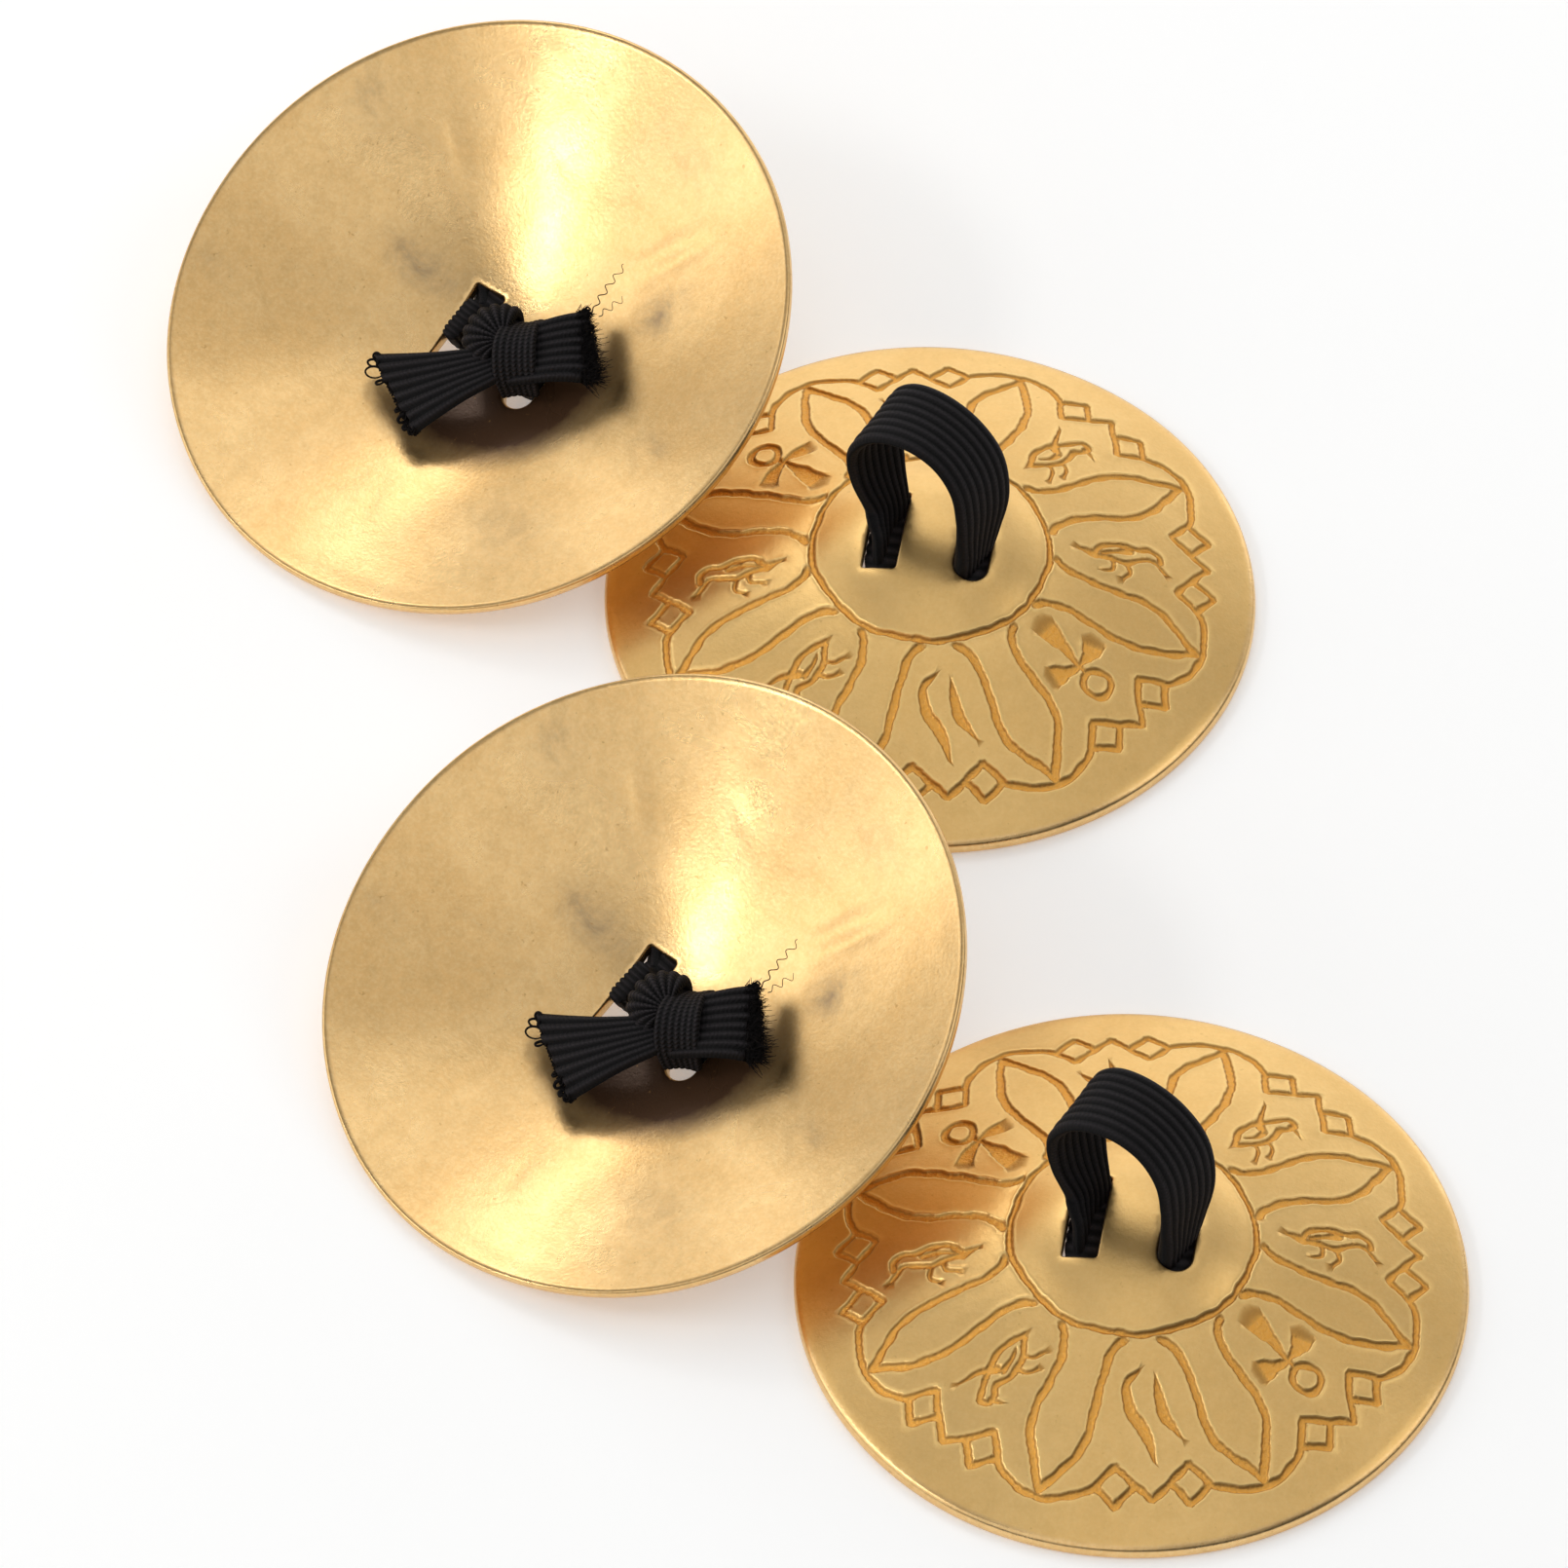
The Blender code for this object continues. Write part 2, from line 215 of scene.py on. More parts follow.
class Nodes:
    """Short calls for building a node tree."""

    def __init__(self, name):
        self.material = bpy.data.materials.new(name)
        self.material.use_nodes = True
        self.tree = self.material.node_tree
        self.shader = self.tree.nodes["Principled BSDF"]

    def put(self, value, socket):
        """Link a socket, or set a plain value."""
        if isinstance(value, bpy.types.NodeSocket):
            self.tree.links.new(value, socket)
        else:
            socket.default_value = value

    def fill(self, item, **values):
        """Put a value into each named socket of a node."""
        for name, value in values.items():
            self.put(value, item.inputs[name.replace("_", " ")])

    def node(self, kind, **settings):
        """Add a node with its settings."""
        item = self.tree.nodes.new(kind)
        for key, value in settings.items():
            setattr(item, key, value)
        return item

    def math(self, operation, a, b=0.0, c=0.0):
        """One Math node."""
        item = self.node("ShaderNodeMath", operation=operation)
        for i, value in enumerate((a, b, c)):
            self.put(value, item.inputs[i])
        return item.outputs[0]

    def noise(self, vector, scale, detail=3.0, roughness=0.5, distortion=0.0):
        """One Noise Texture's value."""
        item = self.node("ShaderNodeTexNoise")
        self.fill(item, Vector=vector, Scale=scale, Detail=detail, Roughness=roughness, Distortion=distortion)
        return item.outputs["Fac"]

    def span(self, value, low, high, to_low=0.0, to_high=1.0):
        """One Map Range node, clamped."""
        item = self.node("ShaderNodeMapRange")
        self.fill(item, Value=value, From_Min=low, From_Max=high, To_Min=to_low, To_Max=to_high)
        return item.outputs["Result"]

    def mix(self, factor, a, b):
        """Mix two colours."""
        item = self.node("ShaderNodeMix", data_type="RGBA")
        self.put(factor, item.inputs["Factor"])
        self.put(a, item.inputs[6])
        self.put(b, item.inputs[7])
        return item.outputs[2]

    def attribute(self, name):
        """A value stored in the mesh."""
        return self.node("ShaderNodeAttribute", attribute_name=name).outputs["Fac"]

    def place(self, kind):
        """Object or UV coordinates."""
        return self.node("ShaderNodeTexCoord").outputs[kind]

    def split(self, vector):
        """The X, Y and Z sockets of a vector."""
        item = self.node("ShaderNodeSeparateXYZ")
        self.put(vector, item.inputs[0])
        return item.outputs

    def bump(self, height, distance, strength):
        """A Bump node into the shader's normal."""
        item = self.node("ShaderNodeBump")
        self.fill(item, Height=height, Distance=distance, Strength=strength)
        self.fill(self.shader, Normal=item.outputs["Normal"])


# What the disc's mesh says of each point, from 0 to 1.
SHARES = ("groove", "burr", "smudge", "knot_shade", "outside")


def brass_material():
    """Satin brass with tarnish, smudges, fine grain and rough golden engraving, with painted shade in the
    groove walls and painted shade and reflection of the knot inside the dome.
    """
    n = Nodes("satin_brass")
    place = n.place("Object")
    cloud = n.noise(place, 80.0, 4.0, 0.62, 0.8)
    patch = n.noise(place, 230.0, 5.0, 0.68, 0.4)
    mottle = n.noise(place, 900.0, 4.0, 0.7)
    grain = n.noise(place, 3000.0, 2.0, 0.6)
    pits = n.noise(place, 1300.0, 2.0, 0.7)
    groove, burr, smudge, knot_shade, outside = [n.attribute(name) for name in SHARES]
    colour = n.mix(n.span(cloud, 0.34, 0.66), (0.92, 0.615, 0.275, 1.0), (0.84, 0.525, 0.21, 1.0))
    for layer, low, high, share, tint in (
            (patch, 0.50, 0.74, 0.42, (0.66, 0.42, 0.17, 1.0)),
            (mottle, 0.38, 0.66, 0.30, (0.60, 0.37, 0.14, 1.0)),
            (grain, 0.42, 0.70, 0.22, (1.0, 0.80, 0.44, 1.0))):
        colour = n.mix(n.span(layer, low, high, 0.0, share), colour, tint)
    smudged = n.math("MULTIPLY", smudge, n.span(patch, 0.38, 0.62, 0.15, 1.0))
    colour = n.mix(smudged, colour, (0.30, 0.22, 0.14, 1.0))
    # Painted shade and reflection of the dark knot: near-black brown below and right of the knot inside the
    # dome, with a ragged edge.
    x, y, _ = n.split(place)
    radius = n.math("SQRT", n.math("ADD", n.math("POWER", x, 2.0), n.math("POWER", y, 2.0)))
    ragged = n.math("MULTIPLY_ADD", patch, 0.0022, radius)
    knot_shaded = n.math("MULTIPLY", knot_shade, n.span(ragged, 0.0110, 0.0144, 1.0, 0.0))
    colour = n.mix(knot_shaded, colour, (0.10, 0.05, 0.025, 1.0))
    colour = n.mix(n.span(pits, 0.68, 0.76, 0.0, 0.6), colour, (0.50, 0.28, 0.09, 1.0))
    colour = n.mix(n.math("MULTIPLY", outside, 0.5), colour, (0.92, 0.59, 0.19, 1.0))
    rough_groove = n.math("MULTIPLY", groove, n.span(grain, 0.3, 0.7, 0.7, 1.0))
    colour = n.mix(rough_groove, colour, (0.90, 0.46, 0.085, 1.0))
    colour = n.mix(n.math("MULTIPLY", burr, 0.4), colour, (1.0, 0.74, 0.30, 1.0))
    # Painted shade: the grooves' walls are darkened to brown, where their edges fall into shade.
    groove_wall_shade = n.math("MULTIPLY", groove, n.math("SUBTRACT", 1.0, groove))
    colour = n.mix(n.math("MULTIPLY", groove_wall_shade, 2.7), colour, (0.34, 0.16, 0.035, 1.0))
    rough = n.span(cloud, 0.3, 0.7, 0.26, 0.31)
    for share, more in ((outside, 0.10), (groove, 0.16), (smudge, 0.12)):
        rough = n.math("MULTIPLY_ADD", share, more, rough)
    # Where the knot's shade and reflection are painted, the metal is also made less metallic.
    n.fill(n.shader, Base_Color=colour, Roughness=rough, Metallic=n.math("MULTIPLY_ADD", knot_shaded, -0.6, 1.0))
    height = n.math("MULTIPLY", grain, n.math("MULTIPLY_ADD", groove, 4.6, 0.6))
    height = n.math("ADD", height, n.math("MULTIPLY", mottle, 0.25))
    n.bump(height, 0.000028, 0.85)
    return n.material


def elastic_material():
    """Black ribbed elastic with its fine knit and a painted highlight on the crown of each rib. UV: ribs
    across, millimetres along.
    """
    n = Nodes("ribbed_elastic")
    across, along, _ = n.split(n.place("UV"))
    rib = n.math("ABSOLUTE", n.math("SUBTRACT", n.math("FRACT", across), 0.5))
    wobble = n.noise(n.place("UV"), 1.3, 2.0)
    stitch = n.math("MULTIPLY_ADD", along, 2.6, n.math("MULTIPLY", rib, 0.9))
    stitch = n.math("ADD", stitch, n.math("MULTIPLY", wobble, 0.9))
    loop = n.span(n.math("SINE", n.math("MULTIPLY", stitch, tau)), -1.0, 1.0)
    loop = n.math("MULTIPLY", loop, n.attribute("knit"))
    # Painted highlight: each rib's crown is painted lighter and the hollows between the ribs darker, as light
    # falls on the ribs.
    crown = n.math("POWER", n.span(rib, 0.02, 0.5, 1.0, 0.0), 1.8)
    fibre = n.noise(n.place("Object"), 5200.0, 3.0, 0.7)
    knit_and_rib_highlight = n.math("MULTIPLY", crown, n.math("MULTIPLY_ADD", loop, 0.6, 0.55))
    knit_and_rib_highlight = n.math("MULTIPLY", knit_and_rib_highlight, n.span(fibre, 0.25, 0.75, 0.55, 1.3))
    colour = n.mix(knit_and_rib_highlight, (0.0012, 0.0010, 0.0012, 1.0), (0.030, 0.025, 0.028, 1.0))
    n.fill(n.shader, Base_Color=colour, Roughness=0.72, Specular_IOR_Level=0.2)
    n.fill(n.shader, Sheen_Weight=0.03, Sheen_Roughness=0.4, Sheen_Tint=(0.60, 0.52, 0.52, 1.0))
    height = n.math("ADD", n.math("MULTIPLY", loop, 0.8), n.math("MULTIPLY", fibre, 0.5))
    n.bump(height, 0.00013, 0.9)
    return n.material


def fibre_material():
    """Loose black threads."""
    n = Nodes("loose_threads")
    shade = n.noise(n.place("Object"), 900.0, 2.0)
    colour = n.mix(shade, (0.0012, 0.001, 0.001, 1.0), (0.008, 0.006, 0.006, 1.0))
    n.fill(n.shader, Base_Color=colour, Roughness=0.8, Specular_IOR_Level=0.15)
    return n.material


# ---- plain curves

def evenly(count):
    """Even shares from 0 to 1."""
    return np.linspace(0.0, 1.0, count)


def smooth_path(points, step):
    """Points a step apart on a Catmull-Rom curve through the given points."""
    points = np.asarray(points, float)
    ends = np.vstack([2 * points[0] - points[1], points, 2 * points[-1] - points[-2]])
    out = []
    for i in range(1, len(ends) - 2):
        a, b, c, d = ends[i - 1:i + 3]
        count = max(2, ceil(np.linalg.norm((c - b)[:3]) / step))
        for t in np.arange(count) / count:
            curve = 2 * b + (c - a) * t + (2 * a - 5 * b + 4 * c - d) * t * t
            out.append(0.5 * (curve + (3 * b - a - 3 * c + d) * t ** 3))
    out.append(points[-1])
    return np.array(out)


def straight_path(points, step):
    """Points a step apart on straight runs between the given points."""
    points = np.asarray(points, float)
    out = []
    for a, b in zip(points, points[1:]):
        count = max(1, ceil(np.linalg.norm(b - a) / step))
        out += [a + (b - a) * i / count for i in range(count)]
    out.append(points[-1])
    return np.array(out)


def polar(radius, angles):
    """Points at a radius and angles about the axis."""
    return np.column_stack([radius * np.cos(angles), radius * np.sin(angles)])


def circle_path(radius, step):
    """Points a step apart on a circle about the axis, from +X round to +X."""
    count = ceil(tau * radius / step)
    return polar(radius, np.radians(np.linspace(0.0, 360.0, count + 1)))


def smoothstep(low, high, value):
    """0 below low, 1 above high, smooth between."""
    t = np.clip((value - low) / (high - low), 0.0, 1.0)
    return t * t * (3.0 - 2.0 * t)


# ---- engraved pattern

STROKE_STEP = 0.08
ARC_SWELL = 1.62
DIAMOND_HALF = 1.7
DIAMOND_SIDE = 3.2
DIAMOND_RADIUS = 23.35
OUTLINE_HALF = 0.35
PETAL_HALF = 0.41
LEAF_TIP = 0.1
SCALLOP_POINTS = 90


def in_panel(points, direction):
    """Turn (sideways, outward) points of one panel into the cymbal's XY. Extra columns stay."""
    points = np.asarray(points, float)
    a = radians(direction)
    turned = points.copy()
    turned[:, 0] = points[:, 1] * cos(a) - points[:, 0] * sin(a)
    turned[:, 1] = points[:, 1] * sin(a) + points[:, 0] * cos(a)
    return turned


def with_width(path, half):
    """Add a half-width to each point: a number, or a function of the share along the path."""
    share = evenly(len(path))
    widths = np.array([half(s) for s in share]) if callable(half) else np.full(len(path), half)
    return np.column_stack([path[:, :2], widths])


def petal_strokes(direction):
    """A pointed petal: two grooves that flare on to the ring and meet at the tip."""
    side = [(2.75, 10.85), (2.25, 11.6), (1.95, 13.4), (2.2, 15.9), (2.5, 18.8), (2.05, 21.4), (0.0, 24.9)]
    out = []
    for sign in (-1, 1):
        path = smooth_path([(sign * x, y) for x, y in side], STROKE_STEP)
        out.append(in_panel(with_width(path, PETAL_HALF), direction))
    return out


def outline_strokes(direction):
    """The zigzag with its two diamonds at one panel, and the scallop on to the next panel."""
    far = DIAMOND_SIDE + DIAMOND_HALF
    near = DIAMOND_SIDE - DIAMOND_HALF
    low = DIAMOND_RADIUS - DIAMOND_HALF
    zigzag = [(far, DIAMOND_RADIUS), (DIAMOND_SIDE, low), (0.0, low + DIAMOND_SIDE)]
    mirrored = [(-x, y) for x, y in reversed(zigzag[:-1])]
    out = [straight_path(zigzag + mirrored, STROKE_STEP)]
    for sign in (-1, 1):
        cap = [(sign * far, DIAMOND_RADIUS), (sign * DIAMOND_SIDE, DIAMOND_RADIUS + DIAMOND_HALF),
               (sign * near, DIAMOND_RADIUS)]
        out.append(straight_path(cap, STROKE_STEP))
    out = [in_panel(with_width(path, OUTLINE_HALF), direction) for path in out]
    start = np.degrees(atan2(far, DIAMOND_RADIUS))
    base = hypot(far, DIAMOND_RADIUS)
    angles = np.linspace(start, PANEL_STEP - start, SCALLOP_POINTS)
    swell = np.sin(pi * (angles - start) / (PANEL_STEP - 2 * start)) ** 0.8
    arc = polar(base + ARC_SWELL * swell, np.radians(angles + direction))
    out.append(with_width(straight_path(arc, STROKE_STEP), OUTLINE_HALF))
    return out


def leaf(width):
    """A half-width that swells in the middle of a stroke."""
    return lambda share: LEAF_TIP + (width - LEAF_TIP) * sin(pi * share) ** 0.8


def taper(start, end):
    """A half-width that runs evenly from start to end."""
    return lambda share: start + (end - start) * share


def flame_motif():
    """Two curled flames."""
    first = [(-0.4, 13.4), (-1.7, 14.9), (-1.4, 17.0), (-0.2, 19.2), (0.3, 21.7)]
    second = [(0.8, 14.3), (1.0, 16.2), (1.6, 18.0), (2.9, 19.7)]
    return [with_width(smooth_path(first, STROKE_STEP), leaf(0.56)),
            with_width(smooth_path(second, STROKE_STEP), leaf(0.48))]


def sprig_motif():
    """A ringed berry on a sprig of three broad leaves."""
    ring = circle_path(1.25, STROKE_STEP) + [0.0, 19.7]
    stem = straight_path([(0.0, 18.2), (0.0, 17.0)], STROKE_STEP)
    keel = straight_path([(0.0, 17.1), (0.3, 13.3)], STROKE_STEP)
    out = [with_width(ring, 0.36), with_width(stem, 0.26), with_width(keel, taper(0.24, 1.02))]
    for sign in (-1, 1):
        side = smooth_path([(0.0, 17.6), (sign * 1.2, 17.4), (sign * 2.4, 16.9)], STROKE_STEP)
        out.append(with_width(side, taper(0.2, 0.86)))
    return out


def bird(legs, strokes):
    """Grooves from (points, half-width) pairs, with the legs on one side or the other."""
    out = []
    for points, half in strokes:
        out.append(with_width(smooth_path([(legs * x, y) for x, y in points], STROKE_STEP), half))
    return out


def wader_motif(legs):
    """A standing bird in outline that faces outward."""
    back = [(0.5, 14.3), (-0.7, 15.5), (-1.2, 17.1), (-0.85, 18.6), (-1.0, 19.6), (-0.4, 20.5), (0.4, 20.6)]
    belly = [(0.5, 14.3), (0.5, 15.8), (0.8, 17.3), (0.35, 18.6), (0.15, 19.4), (0.5, 20.1), (1.5, 20.9)]
    wing = [(-0.5, 17.9), (-0.35, 16.6), (0.05, 15.3)]
    tail = [(0.5, 14.6), (0.1, 13.3)]
    leg = [(0.65, 16.3), (1.7, 16.1), (2.1, 15.1)]
    other_leg = [(0.75, 17.4), (1.9, 17.6), (2.7, 16.9)]
    return bird(legs, ((back, 0.34), (belly, taper(0.38, 0.26)), (wing, taper(0.44, 0.20)),
                       (tail, taper(0.5, 0.26)), (leg, 0.24), (other_leg, 0.24)))


def fledgling_motif(legs):
    """A bird in outline with a raised wing and a bent head."""
    body = [(-0.2, 13.7), (-1.0, 15.3), (-1.15, 16.9), (-0.6, 18.3), (-0.15, 19.3), (0.4, 20.2), (1.2, 20.0),
            (1.2, 19.2), (0.7, 18.5), (1.2, 17.3), (1.0, 15.9), (0.3, 14.6), (-0.2, 13.7)]
    beak = [(1.1, 19.7), (2.3, 19.3)]
    raised_wing = [(-0.4, 17.4), (-1.5, 18.6), (-2.1, 20.1)]
    folded_wing = [(0.2, 17.2), (0.2, 16.2), (-0.2, 15.2)]
    leg = [(1.0, 16.5), (2.0, 16.2), (2.6, 15.2)]
    other_leg = [(0.7, 15.4), (1.6, 14.9), (2.0, 13.9)]
    return bird(legs, ((body, 0.34), (beak, taper(0.32, 0.14)), (raised_wing, taper(0.42, 0.16)),
                       (folded_wing, taper(0.36, 0.16)), (leg, 0.23), (other_leg, 0.23)))


def all_strokes():
    """Every groove of the pattern: arrays of x, y and half-width."""
    motifs = (wader_motif(-1), fledgling_motif(-1), flame_motif(), sprig_motif(),
              wader_motif(1), fledgling_motif(1), flame_motif(), sprig_motif())
    strokes = [with_width(circle_path(RING_RADIUS, STROKE_STEP), 0.3)]
    for k in range(PANELS):
        direction = PATTERN_TURN + PANEL_STEP * k
        strokes += petal_strokes(direction + PANEL_STEP / 2.0)
        strokes += outline_strokes(direction)
        strokes += [in_panel(stroke, direction) for stroke in motifs[k]]
    return [hand_cut(stroke) for stroke in strokes]


def hand_cut(stroke):
    """Let a groove wander and swell a little, as a hand-cut die leaves it."""
    x, y, half = stroke[:, 0], stroke[:, 1], stroke[:, 2]
    dx = 0.09 * np.sin(0.83 * y + 0.6) + 0.05 * np.sin(2.1 * y + 1.9 * x)
    dy = 0.09 * np.sin(0.91 * x + 2.2) + 0.05 * np.sin(2.3 * x - 1.7 * y + 1.0)
    swell = 1.0 + 0.09 * np.sin(3.1 * x + 1.3 * y) + 0.07 * np.sin(6.7 * y - 4.9 * x)
    swell = swell + 0.05 * np.sin(15.0 * x + 13.0 * y)
    return np.column_stack([x + dx, y + dy, half * swell])


def groove_gap(xy, strokes):
    """Distance from each point to the nearest groove's edge, negative inside, at most the reach."""
    reach, margin, piece = 1.2, 2.2, 40
    gap = np.full(len(xy), reach)
    order = np.argsort(xy[:, 0])
    sorted_x = xy[order, 0]
    for stroke in strokes:
        for start in range(0, len(stroke), piece):
            part = stroke[start:start + piece + 1]
            low = part[:, :2].min(0) - margin
            high = part[:, :2].max(0) + margin
            first, last = np.searchsorted(sorted_x, (low[0], high[0]))
            picks = order[first:last]
            picks = picks[(xy[picks, 1] > low[1]) & (xy[picks, 1] < high[1])]
            if len(picks) == 0:
                continue
            away = np.hypot(xy[picks, None, 0] - part[:, 0], xy[picks, None, 1] - part[:, 1])
            gap[picks] = np.minimum(gap[picks], (away - part[:, 2]).min(1))
    return gap


def groove_relief(gap):
    """Height, groove share and burr share from the distance to a groove's edge."""
    inside = 1.0 - smoothstep(-GROOVE_SHOULDER, GROOVE_LIP, gap)
    burr = np.exp(-((gap - BURR_OFFSET) / BURR_WIDTH) ** 2)
    return -GROOVE_DEPTH * inside + BURR_HEIGHT * burr, inside, burr


# ---- the cymbal's faces

def outer_height(radius):
    """Height of the outer face without its engraving."""
    radius = np.asarray(radius, float)
    sphere = (DOME_RADIUS ** 2 + DOME_RISE ** 2) / (2.0 * DOME_RISE)
    dome = DOME_BASE + np.sqrt(sphere ** 2 - np.minimum(radius, DOME_RADIUS) ** 2) - (sphere - DOME_RISE)
    share = np.clip((radius - DOME_RADIUS) / (RIM_RADIUS - DOME_RADIUS), 0.0, 1.0)
    plate = DOME_BASE * (1.0 - share ** PLATE_BOW) + RIM_EDGE * share
    return np.where(radius < DOME_RADIUS, dome, plate)


def inner_height(radius):
    """Height of the inner face: level at the centre, then steeper toward an even slope."""
    radius = np.asarray(radius, float)
    return INNER_TOP - INNER_SLOPE * (radius - INNER_REACH * (1.0 - np.exp(-radius / INNER_REACH)))


def uneven(xy, size, seed):
    """Slow unevenness over the metal, about -1 to 1."""
    return np.array([noise.noise(Vector((x / size, y / size, seed))) for x, y in xy])


# Creases that the stamping left inside: start, end, half-width and height, seen from the hollow side.
CREASES = (
    ((5.9, 12.3), (10.0, 18.7), 1.15, 0.15),
    ((7.6, 12.6), (11.3, 17.8), 0.7, -0.09),
    ((-17.0, 13.4), (-12.7, 10.2), 0.7, 0.07),
    ((-18.5, 9.6), (-12.7, 6.6), 0.75, 0.075),
    ((-20.6, -6.6), (-14.2, -5.6), 0.6, 0.05),
    ((-7.6, -1.9), (-7.3, -5.2), 0.35, 0.05),
    ((18.6, 0.1), (21.5, -2.5), 0.7, 0.04),
    ((-9.0, 17.5), (-4.5, 16.0), 0.8, 0.03),
    ((2.0, -17.0), (3.5, -21.5), 0.7, 0.03),
)
# Grey-brown smudges inside: centre, radii and strength, seen from the hollow side.
SMUDGES = (
    ((-11.2, 1.5), (3.4, 1.7), 0.8),
    ((-8.2, 1.8), (1.3, 1.3), 0.6),
    ((11.4, 11.0), (1.9, 2.4), 0.8),
    ((20.6, 0.4), (2.0, 1.6), 0.35),
    ((-23.2, 10.0), (2.2, 2.4), 0.35),
    ((-23.6, -10.7), (1.6, 1.6), 0.35),
    ((15.0, -14.0), (5.0, 3.5), 0.22),
    ((5.5, 22.0), (5.0, 2.5), 0.16),
)


def from_hollow(xy):
    """Positions seen from the hollow side of a leaning cymbal, along its folded strap."""
    c, s = cos(LEANING_DISC_TURN), sin(LEANING_DISC_TURN)
    return np.column_stack([c * xy[:, 0] - s * xy[:, 1], -s * xy[:, 0] - c * xy[:, 1]])


def crease_height(xy):
    """Dents and creases of the inner face, positive away from the dome."""
    seen = from_hollow(xy)
    out = np.zeros(len(xy))
    for start, end, half, height in CREASES:
        start, end = np.array(start), np.array(end)
        line = end - start
        share = np.clip(((seen - start) @ line) / (line @ line), 0.0, 1.0)
        away = np.linalg.norm(seen - (start + share[:, None] * line), axis=1)
        out += height * np.exp(-(away / half) ** 2) * (0.35 + 0.65 * np.sin(pi * np.clip(share, 0.02, 0.98)))
    return out


def smudge_share(xy):
    """How smudged the inner face is at each point."""
    seen = from_hollow(xy)
    out = np.zeros(len(xy))
    for centre, radii, strength in SMUDGES:
        away = np.linalg.norm((seen - centre) / radii, axis=1)
        out = np.maximum(out, strength * np.exp(-away ** 2))
    return out


def knot_shade_share(xy):
    """How much painted shade and reflection of the dark knot the dome's inside gets, below and right of the
    knot seen from the hollow side.
    """
    seen = from_hollow(xy)
    radius = np.hypot(*seen.T)
    aside = np.abs((np.arctan2(seen[:, 1], seen[:, 0]) + radians(40.0) + pi) % tau - pi)
    near = 1.0 - smoothstep(15.0, 18.0, radius)
    return near * (1.0 - smoothstep(radians(45.0), radians(95.0), aside))


def slot_outline(side):
    """A slot's outline: square ends on the left, round ends on the right."""
    step = 0.24
    corner = SLOT_HALF_WIDTH if side > 0 else SLOT_CORNER
    points = []
    for quarter, (sx, sy) in enumerate(((1, 1), (-1, 1), (-1, -1), (1, -1))):
        centre = (side * SLOT_X + sx * (SLOT_HALF_WIDTH - corner), sy * (SLOT_HALF_LENGTH - corner))
        count = max(3, ceil(corner * pi / 2.0 / step))
        for i in range(count + 1):
            angle = pi / 2.0 * (quarter + i / count)
            points.append((centre[0] + corner * cos(angle), centre[1] + corner * sin(angle)))
    closed = np.array(points + points[:1])
    keep = [closed[0]]
    for a, b in zip(closed, closed[1:]):
        length = np.linalg.norm(b - a)
        if length < 1e-6:
            continue
        count = max(1, round(length / step))
        keep += [a + (b - a) * i / count for i in range(1, count + 1)]
    return np.array(keep[:-1])


def slot_rings(side, grows):
    """The same number of outline points at each margin, so that rings can be joined."""
    base = slot_outline(side)
    ahead = np.roll(base, -1, 0) - np.roll(base, 1, 0)
    normal = unit(np.column_stack([ahead[:, 1], -ahead[:, 0]]))
    flip = np.sign(((base - (side * SLOT_X, 0.0)) * normal).sum(1)[0])
    return [base + normal * flip * grow for grow in grows]


def in_slot(xy, grow):
    """Which points lie in either slot, grown by a margin."""
    inside = np.zeros(len(xy), bool)
    for side in (-1, 1):
        x, y = np.abs(xy[:, 0] - side * SLOT_X), np.abs(xy[:, 1])
        box = (x < SLOT_HALF_WIDTH + grow) & (y < SLOT_HALF_LENGTH + grow)
        if side > 0:
            straight = SLOT_HALF_LENGTH - SLOT_HALF_WIDTH
            box &= np.hypot(x, np.maximum(y - straight, 0.0)) < SLOT_HALF_WIDTH + grow
        inside |= box
    return inside


def polar_fill(low, high, step):
    """Points spread evenly over a ring-shaped area, in staggered rings."""
    out = []
    rings = max(1, round((high - low) / step))
    for i in range(rings):
        radius = low + (high - low) * (i + 0.5) / rings
        count = max(6, round(tau * radius / step))
        angles = tau * (np.arange(count) + 0.5 * (i % 2)) / count
        out.append(polar(radius, angles))
    return np.vstack(out)


def beside_strokes(strokes):
    """Rows of points along each groove: its floor, shoulders, edges and burrs."""
    out = []
    for stroke in strokes:
        picks = stroke[::3]
        if len(picks) < 3:
            continue
        ahead = np.gradient(picks[:, :2], axis=0)
        normal = np.column_stack([-ahead[:, 1], ahead[:, 0]])
        normal /= np.linalg.norm(normal, axis=1)[:, None] + 1e-9
        out.append(picks[:, :2])
        for edge in (-0.2, -0.1, 0.0, 0.1, 0.2, 0.36):
            offset = np.maximum(picks[:, 2] + edge, 0.03)
            for sign in (-1, 1):
                out.append(picks[:, :2] + normal * (sign * offset)[:, None])
    return np.vstack(out)


def thin_out(points, cell):
    """Keep one point in each square cell."""
    keys = np.round(points / cell).astype(np.int64)
    _, first = np.unique(keys[:, 0] * 1000003 + keys[:, 1], return_index=True)
    return points[np.sort(first)]


def face_mesh(points, slot_loops, rim_loop):
    """Triangulate one face of the disc between its rim loop and its two slot loops."""
    every = np.vstack([rim_loop] + slot_loops + [points])
    edges = []
    start = len(rim_loop)
    for loop in slot_loops:
        count = len(loop)
        edges += [(start + i, start + (i + 1) % count) for i in range(count)]
        start += count
    result = delaunay_2d_cdt([Vector(p) for p in every], edges, [], 0, 1e-4, True)
    coords = np.array([(v[0], v[1]) for v in result[0]])
    faces = np.array([f for f in result[2] if len(f) == 3])
    middles = coords[faces].mean(1)
    holes = np.zeros(len(faces), bool)
    for loop in slot_loops:
        holes |= inside_polygon(middles, loop)
    where = {}
    for index, sources in enumerate(result[3]):
        for source in sources:
            where[source] = index
    return coords, faces[~holes], where


